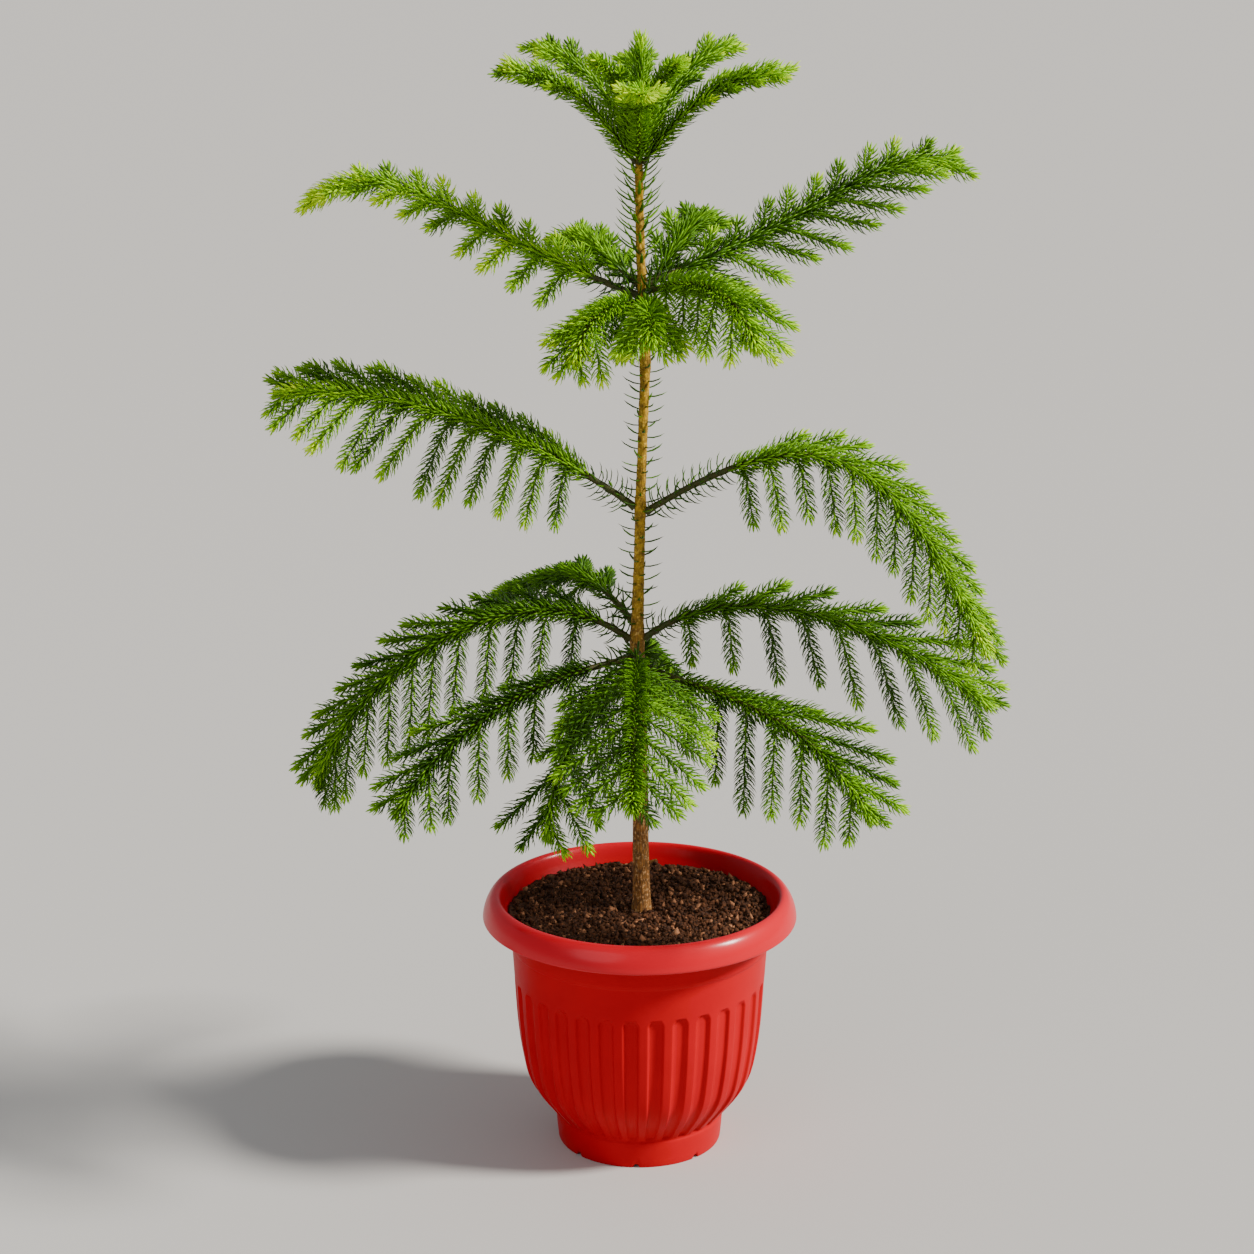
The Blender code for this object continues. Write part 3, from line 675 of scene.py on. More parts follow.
def fan_faces(first, columns, middle, inwards=False):
    """Triangles from a ring of points to a middle point."""
    here = first + np.arange(columns)
    after = first + (np.arange(columns) + 1) % columns
    pair = (here, after) if inwards else (after, here)
    return np.stack([*pair, np.full(columns, middle)], axis=-1)


def rounded(points, steps):
    """A smooth run through points, with the same number of steps between each two."""
    points = np.array(points)
    padded = np.vstack([2 * points[0] - points[1], points, 2 * points[-1] - points[-2]])
    run = []
    for a, b, c, d in zip(padded, padded[1:], padded[2:], padded[3:]):
        for share in np.arange(steps) / steps:
            square, cube = share**2, share**3
            bend = (-a + 3 * b - 3 * c + d) * cube + (2 * a - 5 * b + 4 * c - d) * square
            run.append(0.5 * (bend + (c - a) * share + 2 * b))
    return np.array([*run, points[-1]])


# Pot.
def flute_depths(angles, radii, heights, settings):
    """How deep each point lies in a channel: flat-bottomed, round at the top, open to the foot."""
    pitch = 2 * math.pi / settings.flutes
    offset = ((angles - FLUTE_PHASE) / pitch + 0.5) % 1.0 - 0.5
    across = np.abs(offset)[None] * pitch * radii[:, None]
    half = FLUTE_HALF * pitch * radii[:, None]
    centre = FLUTE_TOP - half
    above = np.maximum(heights[:, None] - centre, 0.0)
    inside = np.clip((half - np.hypot(across, above)) / FLUTE_WALL, 0.0, 1.0)
    foot = np.clip((heights[:, None] - FLUTE_FOOT) / FLUTE_FADE, 0.0, 1.0)
    crown = FLUTE_CROWN * (1 - (across / half) ** 2).clip(0.0)
    return settings.flute_depth * foot * (inside**2 * (3 - 2 * inside) + crown * inside)


def notch_lift(angles, radii, heights):
    """The foot's lower edge rises over each drain notch."""
    turn = 2 * math.pi / NOTCHES
    offset = ((angles - NOTCH_AZIMUTH) / turn + 0.5) % 1.0 - 0.5
    across = offset[None] * turn * radii[:, None] / NOTCH_HALF_WIDTH
    arch = NOTCH_HEIGHT * np.sqrt(np.clip(1 - across**2, 0.0, 1.0))
    return np.maximum(heights[:, None], arch * (heights[:, None] < NOTCH_HEIGHT))


def build_pot(settings):
    body = rounded(POT_BODY, 3)
    arches = np.arange(FLUTE_TOP - ARCH_BELOW, FLUTE_TOP + ARCH_ABOVE, ARCH_STEP)
    arch_radii = np.interp(arches, body[:, 1], body[:, 0])
    body = np.vstack([body, np.column_stack([arch_radii, arches])])
    body = body[np.argsort(body[:, 1])]
    below = np.vstack([POT_UNDERSIDE[1:], rounded(POT_FOOT, 2), POT_LEDGE])
    outline = np.vstack([below, body, POT_COLLAR, POT_LIP_UNDER, rounded(POT_LIP, 3), POT_INSIDE])
    stations = np.array([-0.5, *(-station for station in reversed(FLUTE_STATIONS)), *FLUTE_STATIONS])
    pitch = 2 * math.pi / settings.flutes
    angles = FLUTE_PHASE + pitch * (np.arange(settings.flutes)[:, None] + stations[None]).ravel()
    radii, heights = outline.T
    columns = len(angles)
    fluted = slice(len(below), len(below) + len(body))
    depth = np.zeros((len(outline), columns))
    depth[fluted] = flute_depths(angles, radii[fluted], heights[fluted], settings)
    across = radii[:, None] - depth
    lifted = notch_lift(angles, radii, heights)
    points = np.stack([across * np.cos(angles), across * np.sin(angles), lifted], axis=-1).reshape(-1, 3)
    middle = (0.0, 0.0, POT_UNDERSIDE[0][1])
    faces = (grid_faces(len(outline), columns), fan_faces(0, columns, len(points)))
    finishes = [plastic_finish(settings)]
    new_piece("pot_shell", np.vstack([points, middle]), faces, finishes, "red_plastic", ["pot"])


# Soil.
def soil_height(x, y):
    """Lumpy ground on a broad swell."""
    lumps = noise.fractal(Vector((x * LUMPS_A_METRE, y * LUMPS_A_METRE, 0.3)), 0.9, 2.1, 4)
    broad = noise.noise(Vector((x * SWELLS_A_METRE, y * SWELLS_A_METRE, 4.0)))
    return SOIL_TOP + SOIL_LUMPS * lumps + SOIL_SWELL * broad - SOIL_SINK


def crumb_shapes(chance, count):
    """Rough little octahedra, cut by chance."""
    unit = np.array([(1, 0, 0), (-1, 0, 0), (0, 1, 0), (0, -1, 0), (0, 0, 1), (0, 0, -1)], float)
    sides = np.array([(0, 2, 4), (2, 1, 4), (1, 3, 4), (3, 0, 4), (2, 0, 5), (1, 2, 5), (3, 1, 5), (0, 3, 5)])
    scatter = 1 + CRUMB_SCATTER * chance.standard_normal((count, len(unit), 1)).clip(-1.6, 1.6)
    return unit[None] * scatter, sides


def random_turns(chance, count):
    """A turning matrix for each of a number of things."""
    turns = chance.standard_normal((count, 4))
    w, x, y, z = (turns / np.linalg.norm(turns, axis=1, keepdims=True)).T
    rows = [
        (1 - 2 * (y * y + z * z), 2 * (x * y - z * w), 2 * (x * z + y * w)),
        (2 * (x * y + z * w), 1 - 2 * (x * x + z * z), 2 * (y * z - x * w)),
        (2 * (x * z - y * w), 2 * (y * z + x * w), 1 - 2 * (x * x + y * y)),
    ]
    return np.array(rows).transpose(2, 0, 1)


def build_soil_bed(finish):
    rings = [(radius, 0.0) for radius in np.linspace(SOIL_MIDDLE, SOIL_REACH, SOIL_RINGS)]
    rings += [(SOIL_REACH - inset, sunk) for inset, sunk in SOIL_SKIRT]
    angles = np.arange(SOIL_COLUMNS) * 2 * math.pi / SOIL_COLUMNS
    points = []
    for radius, sunk in rings:
        for angle in angles:
            x, y = radius * math.cos(angle), radius * math.sin(angle)
            points.append((x, y, soil_height(x, y) - sunk))
    points.append((0.0, 0.0, soil_height(0, 0)))
    faces = (grid_faces(len(rings), SOIL_COLUMNS), fan_faces(0, SOIL_COLUMNS, len(points) - 1))
    new_piece("soil_bed", points, faces, [finish], "potting_soil", ["soil"])


def build_crumbs(settings, finishes):
    """Loose crumbs and a few bark chips, scattered over the soil round the trunk."""
    chance = np.random.default_rng(11)
    count = settings.crumbs
    shapes, sides = crumb_shapes(chance, count)
    sizes = settings.crumb * (CRUMB_SMALLEST + CRUMB_SPREAD * chance.random(count) ** CRUMB_SKEW)
    radius = (SOIL_REACH - CRUMBS_OFF_EDGE) * np.sqrt(chance.random(count))
    angle = 2 * math.pi * chance.random(count)
    places = np.column_stack([radius * np.cos(angle), radius * np.sin(angle), np.zeros(count)])
    keep = np.hypot(places[:, 0] - TRUNK[0][2], places[:, 1]) > TRUNK[0][1]
    places[:, 2] = [soil_height(x, y) for x, y, _ in places]
    places[:, 2] += sizes * (CRUMB_LIFT + CRUMB_LIFT_SPREAD * chance.random(count))
    tones = chance.choice(3, count, p=CRUMB_SHARES)
    stretch = np.ones((count, 1, 3))
    stretch[:, 0, 0] += CRUMB_STRETCH * chance.random(count) + CHIP_STRETCH * (tones == 2)
    turned = np.einsum("nij,nkj->nki", random_turns(chance, count), shapes * stretch * sizes[:, None, None])
    crumbs = (turned + places[:, None])[keep]
    faces = (sides[None] + np.arange(len(crumbs))[:, None, None] * shapes.shape[1]).reshape(-1, 3)
    picks = np.repeat(tones[keep], len(sides))
    new_piece("soil_crumbs", crumbs.reshape(-1, 3), (faces,), finishes, "potting_soil", ["soil"], picks)


def build_soil(settings):
    finishes = [
        soil_finish("soil_dark", settings.soil_dark, settings.soil_brown),
        soil_finish("soil_brown", settings.soil_brown, settings.soil_dark),
        soil_finish("soil_fleck", settings.soil_fleck, settings.soil_brown),
    ]
    # The bed takes the near-black dark soil, a painted shade in the gaps between the crumbs.
    build_soil_bed(finishes[0])
    build_crumbs(settings, finishes)


# Growth, by the same rule as the solids.
class Path:
    """A smooth line through close points, read by the distance along it."""

    def __init__(self, points):
        self.points = np.array(points)
        steps = np.linalg.norm(np.diff(self.points, axis=0), axis=1)
        self.marks = np.concatenate([[0.0], np.cumsum(steps)])
        self.length = self.marks[-1]

    def point(self, distance):
        return np.stack([np.interp(distance, self.marks, axis) for axis in self.points.T], axis=-1)

    def heading(self, distance):
        reach = 0.002
        start = np.minimum(np.maximum(distance - reach, 0.0), self.length - reach)
        step = self.point(start + 2 * reach) - self.point(start)
        return step / np.linalg.norm(step, axis=-1, keepdims=True)


class Space:
    """Where limbs and twigs lie, so that new twigs keep clear."""

    def __init__(self):
        self.points = np.empty((0, 3))
        self.radii = np.empty(0)
        self.owners = np.empty(0, dtype=int)
        self.names = {}

    def take(self, owner, points, radii):
        number = self.names.setdefault(owner, len(self.names))
        self.points = np.concatenate([self.points, points])
        self.radii = np.concatenate([self.radii, np.broadcast_to(radii, len(points))])
        self.owners = np.concatenate([self.owners, np.full(len(points), number)])

    def is_clear(self, owner, points, radius, near_root):
        """Twigs of one mass may lie closer, and they meet near the root."""
        others = self.owners != self.names[owner]
        apart = np.linalg.norm(points[:, None] - self.points[None], axis=2)
        room = apart - self.radii - radius - GAP
        if room[:, others].min(initial=1.0) < 0:
            return False
        own = apart[~near_root][:, ~others] - TWIG_CROWDING * (self.radii[~others] + radius)
        return own.min(initial=1.0) >= 0

    def room(self, points):
        """The distance from a twig's points to the nearest other twig or stem."""
        return np.linalg.norm(points[:, None] - self.points[None], axis=2).min(initial=1.0)


def trunk_radius(height):
    heights, radii, _ = zip(*TRUNK)
    return np.interp(height, heights, radii)


def trunk_middle(height):
    heights, _, sways = zip(*TRUNK)
    return np.array((np.interp(height, heights, sways), 0.0, height))


def limb_path(limb):
    """A cubic curve in the limb's upright plane, from the trunk's middle to the needle tips."""
    angle = math.radians(limb.azimuth)
    outward = np.array((math.cos(angle), math.sin(angle), 0.0))
    upward = np.array((0.0, 0.0, 1.0))
    start = trunk_middle(limb.height)
    end = limb.reach * outward + limb.tip * upward
    span = np.linalg.norm(end - start)
    rise, fall = math.radians(limb.rise), math.radians(limb.fall)
    leave = start + limb.hold * span * (math.cos(rise) * outward + math.sin(rise) * upward)
    arrive = end - limb.drop * span * (math.cos(fall) * outward - math.sin(fall) * upward)
    share = np.linspace(0, 1, PATH_POINTS)[:, None]
    rest = 1 - share
    return Path(
        rest**3 * start + 3 * share * rest**2 * leave + 3 * share**2 * rest * arrive + share**3 * end
    )


def side_of(limb):
    """The level direction across the limb, to its left seen from the trunk."""
    angle = math.radians(limb.azimuth)
    return np.array((-math.sin(angle), math.cos(angle), 0.0))


def stem_reach(limb, path):
    """Near the trunk the needles are held in, so that neighbouring limbs have room."""
    if limb is LEADER:
        return lambda distance: np.full(np.shape(distance), LEADER_NEEDLE_REACH)
    longest = YOUNG_NEEDLE_REACH if limb in PLUMES else NEEDLE_REACH

    def reach(distance):
        point = path.point(distance)
        return np.minimum(longest, NEEDLES_NEAR_TRUNK * np.hypot(point[..., 0], point[..., 1]))

    return reach


def limb_core(limb, path, distance):
    thickest = BOUGH_CORE if limb.bare else PLUME_CORE
    return np.interp(distance, (0.0, path.length), (thickest, STEM_TIP_CORE))


def off_trunk(point):
    """How far a point stands off the trunk's surface."""
    return math.hypot(*(point - trunk_middle(point[2]))[:2]) - trunk_radius(point[2])


def trunk_clearance(path):
    """The distance along a limb at which it comes clear of the trunk."""
    marks = np.arange(0.0, path.length, PATH_STEP)
    return next(mark for mark in marks if off_trunk(path.point(mark)) > SEAT_GAP)


def mass_spans(limb, path):
    """Names and stretches of the limb's masses, each a gap apart from the last."""
    if limb.bare:
        start = limb.bare + GAP
    else:
        start = 0.0 if limb is LEADER else trunk_clearance(path)
    edges = np.linspace(start, path.length, limb.masses + 1)
    names = {1: ("",), 2: ("_inner", "_outer"), 3: ("_inner", "_middle", "_outer")}[limb.masses]
    return [
        (f"mass_{limb.name}{name}", low + (GAP if number else 0.0), high)
        for number, (name, low, high) in enumerate(zip(names, edges, edges[1:]))
    ]


def twig_path(limb, path, distance, hand, length, chance):
    """A twig leaves the stem forward and to one side and then droops, most so on the front side."""
    heading = path.heading(distance)
    sideways = hand * side_of(limb)
    front = -sideways[1]
    share = distance / path.length
    lean = limb.lean * (1 + TWIG_TURN * front) * (1 - TWIG_NARROW * share**2)
    lean += chance.uniform(-LEAN_SCATTER, LEAN_SCATTER)
    roll = front * (limb.roll * (1 - ROLL_EASE * share) if front > 0 else limb.lift)
    above = np.cross(heading, side_of(limb))
    outward = math.cos(math.radians(lean)) * heading + math.sin(math.radians(lean)) * sideways
    outward -= roll * above
    outward /= np.linalg.norm(outward)
    ease = 1 - TWIG_EASE * share
    facing = max(0.0, -math.sin(math.radians(limb.azimuth)))
    near = min(1.0, front + FRONT_DROOP * facing)
    droop = FAR_HANG + (1 - FAR_HANG) * (1 + near) / 2
    hang = limb.hang * ease * droop * chance.uniform(*HANG_SCATTER)
    steps = max(4, math.ceil(length / TWIG_STEP))
    points = [path.point(distance)]
    for step in range(steps):
        bend = hang * min(1.0, TWIG_BEND * (step + 0.5) / steps)
        direction = (1 - bend) * outward + bend * np.array((0.0, 0.0, -1.0))
        points.append(points[-1] + direction / np.linalg.norm(direction) * length / steps)
    across = np.cross(outward, (0.0, 0.0, -1.0))
    return Path(points), across / np.linalg.norm(across)


def twig_length(limb, share, hand, chance):
    """Twigs are longest at the limb's peak, and shorter in a far row that stands up."""
    if share < limb.peak:
        part = np.interp(share, (0.0, limb.peak), (limb.foot, 1.0))
    else:
        part = 1.0 - (1.0 - TWIG_AT_TIP) * ((share - limb.peak) / (1.0 - limb.peak)) ** 2
    front = -hand * side_of(limb)[1]
    if front < 0:
        part *= min(1.0, FAR_SHORT - limb.lift)
    return limb.twig * float(part) * chance.uniform(*LENGTH_SCATTER)


def twig_places(limb, path, spans, chance):
    """Where twigs leave the stem, left and right by turns: their share, distance, hand, length and mass."""
    first, last = spans[0][1], path.length
    if not limb.bare:
        first = first + PLUME_BARE * (last - first)
    for number in range(2 * limb.pairs):
        share = (number + 0.5 + chance.uniform(-PLACE_SCATTER, PLACE_SCATTER)) / (2 * limb.pairs)
        distance = first + share * (last - first) * LAST_TWIG
        hand = 1 if number % 2 else -1
        length = min(twig_length(limb, share, hand, chance), path.length - distance + TWIG_PAST_TIP)
        name = next((name for name, low, high in spans if distance <= high), spans[-1][0])
        low, high = next((low, high) for span, low, high in spans if span == name)
        yield share, min(max(distance, low + TWIG_CORE), high - TWIG_CORE), hand, length, name


def grow_twigs(limb, path, spans, space):
    """Twigs left and right by turns, shortened or skipped where space is taken. Also the skipped ones."""
    grown, skipped = [], []
    chance = random.Random(limb.name)
    for share, distance, hand, length, name in twig_places(limb, path, spans, chance):
        state = chance.getstate()
        for factor in TWIG_TRIES:
            chance.setstate(state)
            if length * factor < TWIG_SHORTEST:
                skipped.append((share, distance, hand, length))
                break
            twig, across = twig_path(limb, path, distance, hand, length * factor, chance)
            marks = np.append(twig.marks[1:], twig.length)
            points = np.array([twig.point(mark) for mark in marks])
            if space.is_clear(name, points, NEEDLE_REACH, marks < ROOT_FREE):
                space.take(name, points, NEEDLE_REACH)
                grown.append((twig, across, share))
                break
        else:
            skipped.append((share, distance, hand, length))
    return grown, skipped


def fill_twigs(limb, path, space, skipped):
    """Twigs for the skipped places, where single needles have room."""
    grown = []
    chance = random.Random(f"{limb.name} fill")
    for share, distance, hand, length in skipped:
        for factor in TWIG_TRIES:
            if length * factor < TWIG_SHORTEST:
                break
            twig, across = twig_path(limb, path, distance, hand, length * factor, chance)
            points = twig.point(np.append(twig.marks[1:], twig.length))
            free = points[np.append(twig.marks[1:], twig.length) > ROOT_FREE]
            if not len(free) or space.room(free) > FILL_ROOM:
                space.take("fill", points, NEEDLE_REACH)
                grown.append((twig, across, share))
                break
    return grown


@cache
def grow_plant():
    """Paths, mass names and twigs of every limb, by its name."""
    space = Space()
    limbs = (*LIMBS, *PLUMES, LEADER)
    paths = {limb: limb_path(limb) for limb in limbs}
    spans = {limb: mass_spans(limb, paths[limb]) for limb in limbs}
    heights = np.arange(TRUNK_FOOT, TRUNK_TOP, TWIG_STEP)
    space.take("trunk", np.array([trunk_middle(height) for height in heights]), trunk_radius(heights))
    for limb in limbs:
        path, reach = paths[limb], stem_reach(limb, paths[limb])
        for name, start, end in spans[limb]:
            marks = np.arange(start, end, TWIG_STEP)
            space.take(name, path.point(marks), reach(marks))
    twigs, skipped = {}, {}
    for limb in limbs:
        twigs[limb], skipped[limb] = grow_twigs(limb, paths[limb], spans[limb], space)
    for limb in limbs:
        twigs[limb] += fill_twigs(limb, paths[limb], space, skipped[limb])
    return limbs, paths, spans, twigs


def whorl_of(limb):
    return "crown" if limb is LEADER else limb.name.split("_")[0]


# Bark, boughs, stems and twigs: their sides, rings, cushions and root flare.
BOUGH_SIDES, STEM_SIDES, TWIG_SIDES = 11, 9, 6
STEM_STEP = 0.0028
BOUGH_SHARE, STEM_SHARE = 0.94, 0.85
STEM_CUSHIONS_ROUND, STEM_CUSHION_DRIFT = 3, 4
ROOT_SUNK, ROOT_FLARE, FLARE_FADE = 0.0012, 0.35, 0.004
STEM_SHORT, TWIG_SHORT = 0.003, 0.002
TWIG_RING_STEP = 0.005


def across_heading(side, headings):
    """Two directions across a run of headings."""
    other = np.cross(headings, side)
    other /= np.linalg.norm(other, axis=-1, keepdims=True)
    return np.cross(other, headings), other


def tube(middles, headings, side, radii, sides):
    """Rings of points round a line, and their faces, with a point at the far end."""
    first, second = across_heading(side, headings)
    angles = 2 * math.pi * np.arange(sides) / sides
    around = np.cos(angles)[None, :, None] * first[:, None] + np.sin(angles)[None, :, None] * second[:, None]
    points = middles[:, None] + radii[..., None] * around
    rows = len(middles)
    tip = middles[-1] + headings[-1] * radii[-1].mean()
    faces = (grid_faces(rows, sides), fan_faces((rows - 1) * sides, sides, rows * sides, inwards=True))
    return np.vstack([points.reshape(-1, 3), tip]), faces


def joined(parts):
    """Several (points, faces) as one."""
    points, quads, fans = [], [], []
    start = 0
    for part_points, (part_quads, part_fans) in parts:
        points.append(part_points)
        quads.append(part_quads + start)
        fans.append(part_fans + start)
        start += len(part_points)
    return np.vstack(points), (np.vstack(quads), np.vstack(fans))


def trunk_relief(settings, row, column, height, radius):
    """Cracks and scars in the old bark, and leaf cushions on the young bark above it."""
    angle = 2 * math.pi * column / TRUNK_SIDES
    cosine, sine = math.cos(angle), math.sin(angle)
    across = radius * CRACK_ACROSS
    crack = abs(noise.noise(Vector((cosine * across, sine * across, height * CRACK_ALONG)))) ** 0.5
    scar = noise.noise(Vector((cosine * SCAR_ROUND, sine * SCAR_ROUND, height * SCAR_ALONG)))
    lump = noise.noise(Vector((cosine * LUMP_ROUND, sine * LUMP_ROUND, height * LUMP_ALONG + 7)))
    turn = (column / TRUNK_SIDES * CUSHIONS_ROUND + row / CUSHION_DRIFT) % 1.0
    cushion = math.sin(math.pi * turn) ** 2 * abs(math.sin(math.pi * row / CUSHION_ROWS))
    old = float(np.clip((OLD_BARK_END - height) / OLD_BARK_FADE, 0.0, 1.0))
    relief = old * settings.crack_depth * (crack - CRACK_LEVEL + SCAR_SHARE * scar)
    return relief + (1 - old) * settings.cushion * (cushion - CUSHION_LEVEL) + LUMP_RELIEF * lump


def build_trunk(settings):
    sides = TRUNK_SIDES
    heights = np.arange(TRUNK_FOOT - TRUNK_SUNK, TRUNK_TOP, TRUNK_STEP)
    points = []
    for row, height in enumerate(heights):
        middle = trunk_middle(max(height, TRUNK_FOOT))
        plain = float(trunk_radius(height))
        for column in range(sides):
            angle = 2 * math.pi * column / sides
            radius = plain + trunk_relief(settings, row, column, height, plain)
            points.append((middle[0] + radius * math.cos(angle), radius * math.sin(angle), height))
    top = trunk_middle(TRUNK_TOP)
    count = len(heights)
    faces = (grid_faces(count, sides), fan_faces((count - 1) * sides, sides, count * sides, inwards=True))
    new_piece("trunk_bark", np.vstack([points, top]), faces, [trunk_finish(settings)], "bark", ["trunk"])


def build_stub(settings):
    """The dry end of a shed bough, low on the trunk."""
    marks = np.linspace(0, 1, STUB_RINGS)
    middles = trunk_middle(STUB_HEIGHT) + STUB_START + marks[:, None] * np.array(STUB_RUN)
    headings = np.tile(np.array(STUB_HEADING), (STUB_RINGS, 1))
    radii = np.outer(np.interp(marks, *zip(*STUB_RADII)), np.ones(STUB_SIDES))
    radii *= 1 + STUB_ROUGHNESS * np.sin(np.arange(STUB_SIDES) * 2.3 + marks[:, None] * 9)
    points, faces = tube(middles, headings, np.array((0.0, 1.0, 0.0)), radii, STUB_SIDES)
    finish = wood_finish("dry_stub", darker(settings.old_bark, 0.7), settings.crack)
    new_piece("trunk_stub", points, faces, [finish], "bark", ["trunk"])


def limb_tube(limb, path, settings):
    """A bough and the stem that it runs on as, tapering to the tip, with leaf cushions."""
    sides = BOUGH_SIDES if limb.bare else STEM_SIDES
    start = 0.0 if limb is LEADER else trunk_clearance(path) - ROOT_SUNK
    marks = np.arange(start, path.length - STEM_SHORT, STEM_STEP)
    turns = np.arange(sides) / sides * STEM_CUSHIONS_ROUND
    rows = np.arange(len(marks))[:, None] / STEM_CUSHION_DRIFT
    cushions = np.sin(math.pi * ((turns + rows) % 1.0)) ** 2
    cores = limb_core(limb, path, marks) * (BOUGH_SHARE if limb.bare else STEM_SHARE)
    flare = 1 + ROOT_FLARE * np.exp(-(marks - start) / FLARE_FADE)
    radii = (cores * flare)[:, None] + settings.cushion * (cushions - 0.5)
    return tube(path.point(marks), path.heading(marks), side_of(limb), radii, sides)


def twig_tube(twig, across):
    marks = np.linspace(0.0, twig.length - TWIG_SHORT, max(4, round(twig.length / TWIG_RING_STEP)))
    radii = np.outer(np.interp(marks, (0, twig.length), TWIG_BARK), np.ones(TWIG_SIDES))
    return tube(twig.point(marks), twig.heading(marks), across, radii, TWIG_SIDES)


def build_wood(settings):
    limbs, paths, spans, twigs = grow_plant()
    stem = wood_finish("young_bark", settings.stem, darker(settings.young_bark, 0.14))
    slim = wood_finish("twig_bark", settings.twig, darker(settings.stem, 0.8))
    for whorl, slot in WHORLS.items():
        members = [limb for limb in limbs if whorl_of(limb) == whorl]
        masses = [name for limb in members for name, _, _ in spans[limb]]
        for limb in members:
            points, faces = limb_tube(limb, paths[limb], settings)
            names = [name for name, _, _ in spans[limb]]
            bough = [f"bough_{limb.name}"] if limb.bare else []
            new_piece(f"limb_{limb.name}", points, faces, [stem], "young_bark", bough + names)
        tubes = [twig_tube(twig, across) for limb in members for twig, across, _ in twigs[limb]]
        points, faces = joined(tubes)
        new_piece(f"twigs_{whorl}", points, faces, [slim], slot, masses)


# Needles.
NEEDLE_CORNERS = 10
NEEDLES_A_PIECE = 13000
# Rings of a needle: share of its bend and of its width, and the share of its length up to the next.
NEEDLE_RINGS = ((0.0, 0.75, 0.36), (0.5, 1.0, 0.36), (1.0, 0.80, 0.28))
# Towards a tip needles are shorter and lie closer, over this distance and by these degrees.
TIP_FADE, TIP_LENGTH, TIP_OPENING, TIP_CLOSING = 0.012, 0.62, 26, 22
# Scatter of places in pitches, of angles in radians, and of lengths and widths as shares.
MARK_SCATTER, ANGLE_SCATTER, NEEDLE_LENGTH_SCATTER, WIDTH_SCATTER = 0.3, 0.06, 0.07, 0.10
# Shares of needles a tone fresher and a tone older, and how deep the feet sit in the wood.
FRESHER, OLDER = 0.16, 0.14
FOOT_DEPTH = 0.8
NEEDLE_QUADS = np.array([
    (ring * 3 + corner, ring * 3 + (corner + 1) % 3, ring * 3 + 3 + (corner + 1) % 3, ring * 3 + 3 + corner)
    for ring in range(2)
    for corner in range(3)
])
NEEDLE_TIPS = np.array([(6 + corner, 6 + (corner + 1) % 3, 9) for corner in range(3)])


def needle_points(feet, along, outward, lengths, widths, opening, closing):
    """Each needle leaves its twig outwards, bends forward and narrows to a point."""
    across = np.cross(along, outward)
    place = feet
    rings = []
    for share, width, step in NEEDLE_RINGS:
        angle = (opening + (closing - opening) * share)[:, None]
        heading = np.cos(angle) * along + np.sin(angle) * outward
        keel = np.cross(across, heading)
        wide = (widths * width)[:, None]
        rings += [place + wide * across, place - wide * across, place - 0.8 * wide * keel]
        place = place + heading * lengths[:, None] * step
    return np.stack([*rings, place], axis=1)


class Needles:
    """The needles of one whorl, kept apart by tone."""

    def __init__(self):
        self.points = {tone: [] for tone in range(len(TONES))}

    def add(self, points, tones):
        for tone in np.unique(tones):
            self.points[int(tone)].append(points[tones == tone])

    def build(self, whorl, slot, finishes, masses):
        for tone, parts in self.points.items():
            if not parts:
                continue
            points = np.concatenate(parts)
            for number, start in enumerate(range(0, len(points), NEEDLES_A_PIECE)):
                some = points[start : start + NEEDLES_A_PIECE]
                offsets = np.arange(len(some))[:, None, None] * NEEDLE_CORNERS
                faces = ((NEEDLE_QUADS + offsets).reshape(-1, 4), (NEEDLE_TIPS + offsets).reshape(-1, 3))
                part = f"_{number + 1}" if len(points) > NEEDLES_A_PIECE else ""
                name = f"needles_{whorl}_{TONES[tone]}{part}"
                new_piece(name, some.reshape(-1, 3), faces, [finishes[tone]], slot, masses)


def clothe(needles, path, side, start, end, core, length, tone, chance, settings, coat):
    """Needles round a twig or stem in a steep spiral, crowded to its two sides, finer at its tip."""
    pitch = settings.pitch * coat.spacing
    marks = np.arange(start, end, pitch)
    count = len(marks)
    if not count:
        return
    marks = marks + chance.uniform(-MARK_SCATTER, MARK_SCATTER, count) * pitch
    share = (marks - start) / max(end - start, 1e-6)
    headings = path.heading(marks)
    first, second = across_heading(side, headings)
    angles = chance.uniform(0, 2 * math.pi) + GOLDEN_ANGLE * np.arange(count)
    angles = angles - coat.flat * np.sin(2 * angles) + chance.normal(0, ANGLE_SCATTER, count)
    outward = np.cos(angles)[:, None] * first + np.sin(angles)[:, None] * second
    cores = core(marks) if callable(core) else core
    feet = path.point(marks) + outward * np.reshape(cores, (-1, 1)) * FOOT_DEPTH
    to_tip = np.clip((end - marks) / TIP_FADE, 0.0, 1.0)
    lengths = length * (TIP_LENGTH + (1 - TIP_LENGTH) * to_tip)
    lengths *= chance.normal(1.0, NEEDLE_LENGTH_SCATTER, count).clip(0.8, 1.2)
    opening = np.radians(coat.opening - TIP_OPENING * (1 - to_tip)) + chance.normal(0, ANGLE_SCATTER, count)
    closing = np.radians(coat.closing - TIP_CLOSING * (1 - to_tip)) + chance.normal(0, ANGLE_SCATTER, count)
    widths = coat.girth * settings.half_width * chance.normal(1.0, WIDTH_SCATTER, count).clip(0.75, 1.3)
    points = needle_points(feet, headings, outward, lengths, widths, opening, closing)
    tones = np.full(count, tone) + (share > 1 - coat.young) + (share > 1 - 0.45 * coat.young)
    tones = tones + (chance.random(count) < FRESHER) - (chance.random(count) < OLDER)
    needles.add(points, np.clip(tones, 0, len(TONES) - 1))


